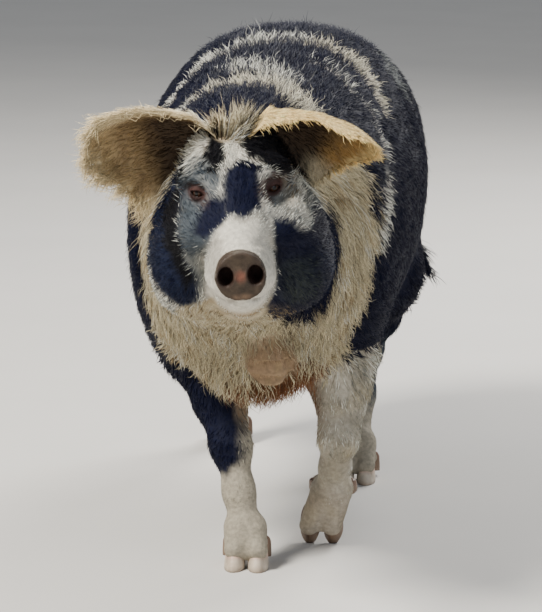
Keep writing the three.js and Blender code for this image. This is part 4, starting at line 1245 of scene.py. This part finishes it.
STRAY = dict(share=0.015, lift=2, length=1.2, width=0.6)  # few hairs stand out, longer and thinner
ROOT_DEPTH = 1.2  # how far a tuft starts under the skin
PATCH = 0.003  # a tuft's patch on the map OFBake
TRUNK_AXIS = 500  # the height of the line that the trunk's coat is unwrapped round


def tail_place(p):
    """How far off the tail's line points lie, how far along it they are, and its direction there."""
    best, share, way = np.full(len(p), 1e6), np.zeros(len(p)), np.zeros(p.shape)
    joints = [np.array(t[:3], float) for t in TAIL]
    for n, (a, b) in enumerate(zip(joints, joints[1:])):
        t = np.clip((p - a) @ (b - a) / ((b - a) @ (b - a)), 0, 1)
        d = np.linalg.norm(p - a - t[:, None] * (b - a), axis=1)
        closer = d < best
        best = np.where(closer, d, best)
        share = np.where(closer, (n + t) / (len(joints) - 1), share)
        way = np.where(closer[:, None], unit(b - a), way)
    return best, share, way


def leg_distances(p):
    """The distance from each leg's line, by the leg's name."""
    return {name: tube_distance(p, line) for name, line in LEG_LINES.items()}


def regions(p):
    """Which piece of coat each root belongs to."""
    h = into_head(p)
    far = np.float64(1e6)
    on_head = (with_forms(h, HEAD_FORMS, far) < torso(p)) & (p[:, 1] < -520)
    distances = leg_distances(p)
    nearest = np.argmin(list(distances.values()), 0)
    off_tail = tail_place(p)[0]
    names = np.full(len(p), "coat_flank_right", dtype="<U24")
    names[p[:, 0] > 0] = "coat_flank_left"
    names[p[:, 2] > torso_level(p[:, 1], 0.86)] = "coat_back"
    names[p[:, 2] < torso_level(p[:, 1], 0.16)] = "coat_belly"
    neck = p[:, 1] < -400
    names[neck] = np.where(p[neck, 0] > 0, "coat_neck_left", "coat_neck_right")
    for n, name in enumerate(distances):
        names[(nearest == n) & (p[:, 2] < 290)] = "coat_" + name
    names[on_head] = "coat_head"
    names[on_head & (h[:, 1] < 190)] = "coat_face"
    names[(off_tail < 34) & (p[:, 1] > 480)] = "coat_tail"
    return names


def torso_level(y, share):
    _, top, bottom, _ = along_spine(np.clip(y, SPINE[0, 0], SPINE[-1, 0]))
    return bottom + (top - bottom) * share


def character(p, names):
    """The five numbers of COATS at each root, mixed from one region to the next."""
    h = into_head(p)
    z = p[:, 2]
    made = np.repeat(np.array(COATS["trunk"], float)[None], len(p), 0)

    def lay(name, mask):
        made[:] = mix(made, np.array(COATS[name], float), mask[:, None])

    lay("crest", ramp(z - torso_level(p[:, 1], 0.9), -20, 40))
    lay("belly", ramp(torso_level(p[:, 1], 0.14) - z, -20, 40))
    lay("belt", ramp(-p[:, 1], 400, 500))
    lay("chest", inside(patch(p, (20, -520, 330), (110, 90, 80)), 30))
    legs = np.min(list(leg_distances(p).values()), 0) < 100
    lay("thigh", legs * ramp(-z, -330, -250))
    lay("shank", legs * ramp(-z, -210, -130))
    lay("foot", legs * ramp(-z, -100, -50))
    on_head = np.isin(names, ["coat_head", "coat_face"])
    lay("jowl", on_head * 1.0)
    lay("cheek", on_head * ramp(-h[:, 1], -250, -190))
    lay("face", on_head * ramp(-h[:, 1], -200, -130))
    lay("muzzle", on_head * ramp(-h[:, 1], -110, -50))
    for side in (1, -1):
        eye = np.linalg.norm((h - [side * 56, 158, 75]) / [1.3, 1.6, 0.9], axis=1)
        lay("muzzle", on_head * inside(eye - 17, 5))
        made[:, 2] *= ramp(eye, 6.5, 9)
    lay("muzzle", on_head * inside(tube_distance(h, CHIN_FOLD) - 15, 5))
    made[:, 2] *= 1 - 0.8 * on_head * inside(tube_distance(h, CHIN_FOLD) - 5, 2)
    lay("poll", inside(patch(h, (0, 250, 156), (34, 34, 32)), 7))
    lay("pouch", inside(patch(p, (30, -602, 356), (42, 60, 46)), 12))
    _, share, _ = tail_place(p)
    lay("tail", (names == "coat_tail") * 1.0)
    lay("tassel", (names == "coat_tail") * ramp(share, 0.62, 0.8))
    bare_disc = inside(np.maximum(np.hypot(h[:, 0], h[:, 2]) - 39, h[:, 1] - 19), 2)
    made[:, 2] *= (1 - bare_disc) * ramp(z, 20, 34)
    return made


def lie(p, n, names):
    """The way the coat lies at each root, before it is laid along the skin."""
    h = into_head(p)
    x, y, z = p.T
    level = np.abs(n[:, 2])
    way = np.stack([0.25 * n[:, 0], np.ones(len(p)), -0.85 * (1 - level)], 1)
    down = np.stack([0.15 * np.sign(x), np.full(len(p), 0.35), np.full(len(p), -1.0)], 1)
    way = mix(way, down, ramp(-y, 380, 560)[:, None])
    way = mix(way, [0.0, 0.3, -1.0], ramp(-z, -330, -270)[:, None])
    hx, hy, hz = h.T
    apart = 0.25 * np.sign(hx) * ramp(np.abs(hx), 0, 40)
    back = np.stack([apart, np.ones(len(p)), -0.5 * ramp(-hz, -40, 60)], 1)
    disc = ramp(-hy, -70, -20)[:, None]
    back = mix(back, unit(np.stack([hx, hx * 0, hz], 1)) + [0, 0.4, 0], disc)
    forelock = (ramp(hz, 96, 118) * ramp(hy, 150, 178) * ramp(-hy, -246, -216))[:, None]
    back = mix(back, np.stack([0.012 * (hx - 6), -0.9 + 0 * hx, -0.35 + 0 * hx], 1), forelock)
    on_head = np.isin(names, ["coat_head", "coat_face"])[:, None]
    way = np.where(on_head, back @ HEAD_AXES.T, way)
    poll = inside(patch(h, (0, 250, 156), (36, 36, 34)), 6)[:, None]
    way = mix(way, np.stack([0.005 * hx, -0.6 + 0 * hx, 1.0 + 0 * hx], 1), poll)
    return np.where((names == "coat_tail")[:, None], tail_place(p)[2] + [0, 0, -0.3], way)


def sow(points, quads, density, rng):
    """Random roots: the quad that each lies on, and its weights for the four corners."""
    p = points[quads]
    area = np.linalg.norm(np.cross(p[:, 2] - p[:, 0], p[:, 3] - p[:, 1]), axis=1) / 2
    number = np.floor(area / 100 * density + rng.random(len(quads))).astype(int)
    face = np.repeat(np.arange(len(quads)), number)
    u, v = rng.random((2, len(face)))
    weights = np.stack([(1 - u) * (1 - v), u * (1 - v), u * v, (1 - u) * v], 1)
    return face, weights


def at_roots(values, quads, face, weights):
    corners = values[quads[face]]
    return (corners * weights.reshape(weights.shape + (1,) * (values.ndim - 1))).sum(1)


# Any numbers without a pattern do here: they scatter the middles of the locks.
LOCK_DICE = np.array([[12.99, 39.35, 73.16], [78.23, 11.14, 52.24], [37.72, 83.16, 9.15]])
LOCK_SIZE = 21


def lock_pull(p, size, seed):
    """From each root towards the middle of its lock, so that neighbouring tips draw together."""
    w = warped(p, 46, 9, seed)
    cell = np.floor(w / size)
    dice = np.sin(cell @ LOCK_DICE) * 43758.5
    centre = (cell + 0.5 + 0.5 * (dice - np.floor(dice) - 0.5)) * size
    return centre - w


def tuft_lines(roots, normals, way, traits, rings, rng):
    """The middle line of each tuft from root to tip, its direction, its sideways direction and its width."""
    count = len(roots)
    length, width, _, lift, wave = traits.T
    length = length * rng.uniform(0.7, 1.25, count)
    lift = np.radians(lift * rng.uniform(0.55, 1.6, count))
    width = width * rng.uniform(0.75, 1.25, count)
    stray = rng.random(count) < STRAY["share"]
    lift[stray] *= STRAY["lift"]
    length[stray] *= STRAY["length"]
    width[stray] *= STRAY["width"]
    way = unit(way - normals * (way * normals).sum(1, keepdims=True))
    across = np.cross(normals, way)
    turn = rng.normal(0, 0.16, count)[:, None]
    turned = way * np.cos(turn) + across * np.sin(turn)
    across = across * np.cos(turn) - way * np.sin(turn)
    share = np.linspace(0, 1, rings + 1)[None, :, None]
    straight = (length * np.cos(lift))[:, None, None] * share
    rise = (length * np.sin(lift))[:, None, None] * (1.5 * share - 0.5 * share**2) - ROOT_DEPTH
    phase = rng.uniform(0, 6.3, count)[:, None, None]
    turns = rng.uniform(0.8, 1.5, count)[:, None, None]
    sway = (wave * np.sqrt(length / 30))[:, None, None] * np.sin(phase + 6.3 * turns * share) * share
    pull = lock_pull(roots, LOCK_SIZE, 7) * (0.02 * np.clip(length, 0, 34))[:, None]
    pull -= normals * (pull * normals).sum(1, keepdims=True)
    line = roots[:, None] + turned[:, None] * straight + normals[:, None] * rise + across[:, None] * sway
    line = line + pull[:, None] * share**1.5
    ahead = unit(np.gradient(line, axis=1))
    side = unit(np.cross(normals[:, None], ahead) + 1e-4)
    return line, ahead, side, width


def tuft_faces(count, rings):
    """Quads round each three-sided tuft, and the triangles that close its root and its tip."""
    each = rings * 3 + 1
    quads = [[3 * r + a, 3 * r + (a + 1) % 3, 3 * r + 3 + (a + 1) % 3, 3 * r + 3 + a]
             for r in range(rings - 1) for a in range(3)]
    last = 3 * (rings - 1)
    tris = [[0, 2, 1]] + [[last + a, last + (a + 1) % 3, each - 1] for a in range(3)]
    first = (np.arange(count) * each)[:, None, None]
    return (first + np.array(quads)).reshape(-1, 4), (first + np.array(tris)).reshape(-1, 3)


def add_bake_map(mesh, spot, across, along, faces):
    """The map OFBake: a small patch for each tuft, at its root's spot on the unwrap."""
    low, high = spot.min(0), spot.max(0)
    spot = 0.01 + 0.98 * (spot - low) / (high - low)
    uv = spot[:, None] + PATCH * np.stack([across, along - 0.5], 1)[None]
    uv = np.clip(uv.reshape(-1, 2), 0, 1)
    corners = np.concatenate([face.reshape(-1) for face in faces])
    mesh.uv_layers.new(name="OFBake").data.foreach_set("uv", uv[corners].astype(np.float32).reshape(-1))


def grow(name, roots, normals, way, traits, colour, spot, rings, material, rng):
    """One piece of coat: a tapering, closed, three-sided tuft at each root."""
    count = len(roots)
    line, ahead, side, width = tuft_lines(roots, normals, way, traits, rings, rng)
    up = np.cross(ahead, side)
    girth = (width[:, None] * np.array(GIRTH[rings]))[..., None]
    corners = []
    for angle in (90, 210, 330):
        a = math.radians(angle)
        outward = side[:, :rings] * math.cos(a) + 0.6 * up[:, :rings] * math.sin(a)
        corners.append(line[:, :rings] + girth * outward)
    sides = np.stack(corners, 2).reshape(count, rings * 3, 3)
    points = np.concatenate([sides, line[:, rings:]], 1).reshape(-1, 3)
    faces = tuft_faces(count, rings)
    mesh = mesh_from(name, points, *faces)

    along = np.append(np.repeat(np.arange(rings) / rings, 3), 1.0)
    shade = np.interp(along, [0, 0.35, 1], [0.62, 0.95, 1.18])[None, :, None]
    tone = rng.normal(1, 0.15, count)[:, None, None] * (1 + 0.10 * waves(roots, 30, 301))[:, None, None]
    set_colour(mesh, "Coat", np.clip(colour[:, None] * shade * tone, 0.002, 0.95).reshape(-1, 3))
    across = np.append(np.tile(np.arange(3) / 2, rings), 0.5) - 0.5
    add_bake_map(mesh, spot, across, along, faces)
    add_piece(name, mesh, material)


def unwrap(p, name):
    """Where roots lie on an unwrap of the part that they grow on: round it, and along it."""
    x, y, z = p.T
    if name in ("coat_head", "coat_face"):
        hx, hy, hz = into_head(p).T
        return np.stack([np.arctan2(hx, hz), hy + 0.7 * np.hypot(hx, hz)], 1)
    if name == "coat_tail":
        _, share, way = tail_place(p)
        at = share * (len(TAIL) - 1)
        off = p - np.stack([np.interp(at, range(len(TAIL)), [t[k] for t in TAIL]) for k in range(3)], 1)
        return np.stack([np.arctan2(off[:, 1], (off * np.cross(way, [0, 1, 0])).sum(1)), share], 1)
    line = LEG_LINES.get(name.removeprefix("coat_"))
    if line:
        joints = np.array(line[::-1], float)
        cx, cy = (np.interp(z, joints[:, 2], joints[:, k]) for k in (0, 1))
        return np.stack([np.arctan2(x - cx, cy - y), z - 0.6 * (y - cy)], 1)
    cut = math.pi if name == "coat_belly" else 0
    angle = np.mod(np.arctan2(x, z - TRUNK_AXIS) + math.pi + cut, 2 * math.pi)
    return np.stack([angle, y - 0.7 * np.hypot(x, z - TRUNK_AXIS) * np.tanh(y / 300)], 1)


rng = np.random.default_rng(5)
coat_material = hair_surface("coat", 0.5)
fine_material = hair_surface("coat_fine", 0.55)
quad_middles = points[quads].mean(1)
quad_names = regions(quad_middles)
face, weights = sow(points, quads, character(quad_middles, quad_names)[:, 2], rng)
roots, outward = at_roots(points, quads, face, weights), unit(at_roots(normals, quads, face, weights))
root_names = quad_names[face]
traits = character(roots, root_names)
ways = lie(roots, outward, root_names)
ways = unit(ways) + 0.28 * waves_3d(roots, 90, 201)
colours = coat_colour(roots, rng.random(len(roots)))
for name in np.unique(root_names):
    chosen = root_names == name
    rings = LONG_HAIR if name.startswith(("coat_neck", "coat_tail")) else SHORT_HAIR
    grow(
        str(name), roots[chosen], outward[chosen], ways[chosen], traits[chosen], colours[chosen],
        unwrap(roots[chosen], name), rings, coat_material if rings == LONG_HAIR else fine_material, rng,
    )

for name, ear in EARS.items():
    p, n, q, s, t, face_side, c = ear_parts[name]
    near_rim = ramp(np.maximum(np.abs(t), 1.06 * np.clip(s, 0, 1)), 0.80, 0.97)
    if name == "left":
        near_rim = np.maximum(near_rim, ramp(-t, *left_fluff_and_painted_sun(s)))
    kinds = np.where(face_side[:, None] > 0, np.array(COATS["hollow"], float), np.array(COATS["ear"], float))
    kinds = mix(kinds, np.array(COATS["ear_rim_" + name], float), near_rim[:, None])
    kinds[:, 2] *= ramp(s, 0.0, 0.03)
    face, weights = sow(p, q, kinds[q][:, :, 2].mean(1), rng)
    at = [at_roots(v, q, face, weights) for v in (p, n, s, t, face_side, kinds, c)]
    roots, outward, s, t, face_side, traits, colours = at
    step = 0.02
    along = out_of_head(ear_point(ear, s + step, t, 0)) - out_of_head(ear_point(ear, s - step, t, 0))
    edge = out_of_head(ear_point(ear, s, t + step, 0)) - out_of_head(ear_point(ear, s, t - step, 0))
    spread = np.sign(t) * ramp(np.abs(t), 0.5, 1)
    droop = ramp(np.abs(t), 0.4, 1)[:, None] * [0, 0, -0.45]
    way = unit(along) + unit(edge) * spread[:, None] + droop
    way += 0.25 * waves_3d(roots, 60, 221)
    spot = np.stack([t + 1.1 + 2.2 * (face_side > 0), s], 1)
    grow(f"coat_ear_{name}", roots, unit(outward), way, traits, colours, spot, LONG_HAIR,
         coat_material, rng)


# ============================================================ camera, floor and light
AZIMUTH, ELEVATION, LENS, DISTANCE = math.radians(5), math.radians(11), 205, 5.5
TARGET = Vector((0, -0.242, 0.4))
PHOTO_HEIGHT = 612  # pixels; the lens's shift is 13 of them sideways and 14 up
SHIFT = (13 / PHOTO_HEIGHT, 14 / PHOTO_HEIGHT)
FLOOR_HALF = 14

back = Vector((
    math.sin(AZIMUTH) * math.cos(ELEVATION), -math.cos(AZIMUTH) * math.cos(ELEVATION), math.sin(ELEVATION)
))
lens = bpy.data.cameras.new("camera")
lens.lens, lens.sensor_width, lens.sensor_fit = LENS, 36, "AUTO"
lens.shift_x, lens.shift_y = SHIFT
lens.clip_end = 100
camera = bpy.data.objects.new("camera", lens)
camera.location = TARGET + back * DISTANCE
camera.rotation_euler = back.to_track_quat("Z", "Y").to_euler()
bpy.context.scene.collection.objects.link(camera)
bpy.context.scene.camera = camera


corners = [(x * FLOOR_HALF, y * FLOOR_HALF, 0) for x, y in ((-1, -1), (1, -1), (1, 1), (-1, 1))]
mesh = bpy.data.meshes.new("floor")
mesh.from_pydata(corners, [], [(0, 1, 2, 3)])
mesh.materials.append(surface("floor", (0.02, 3), [], {"Roughness": 0.9}, plain=(0.62, 0.60, 0.57, 1)))
floor = bpy.data.objects.new("floor", mesh)
bpy.context.scene.collection.objects.link(floor)


def area_light(name, place, size, power, tint):
    data = bpy.data.lights.new(name, "AREA")
    data.energy, data.size, data.color = power, size, tint
    light = bpy.data.objects.new(name, data)
    light.location = place
    light.rotation_euler = (Vector(place) - Vector((0, -0.2, 0.4))).to_track_quat("Z", "Y").to_euler()
    bpy.context.scene.collection.objects.link(light)


area_light("key", (-2.4, -2.3, 4.2), 1.3, 560, (1.0, 0.96, 0.88))
area_light("fill", (3.4, -3.4, 1.8), 3.0, 60, (0.86, 0.92, 1.0))
area_light("rim", (1.6, 3.2, 3.2), 2.0, 260, (1.0, 0.98, 0.94))
world = bpy.data.worlds.new("world")
world.use_nodes = True
world.node_tree.nodes["Background"].inputs["Color"].default_value = (0.80, 0.86, 0.95, 1)
world.node_tree.nodes["Background"].inputs["Strength"].default_value = 0.34
bpy.context.scene.world = world
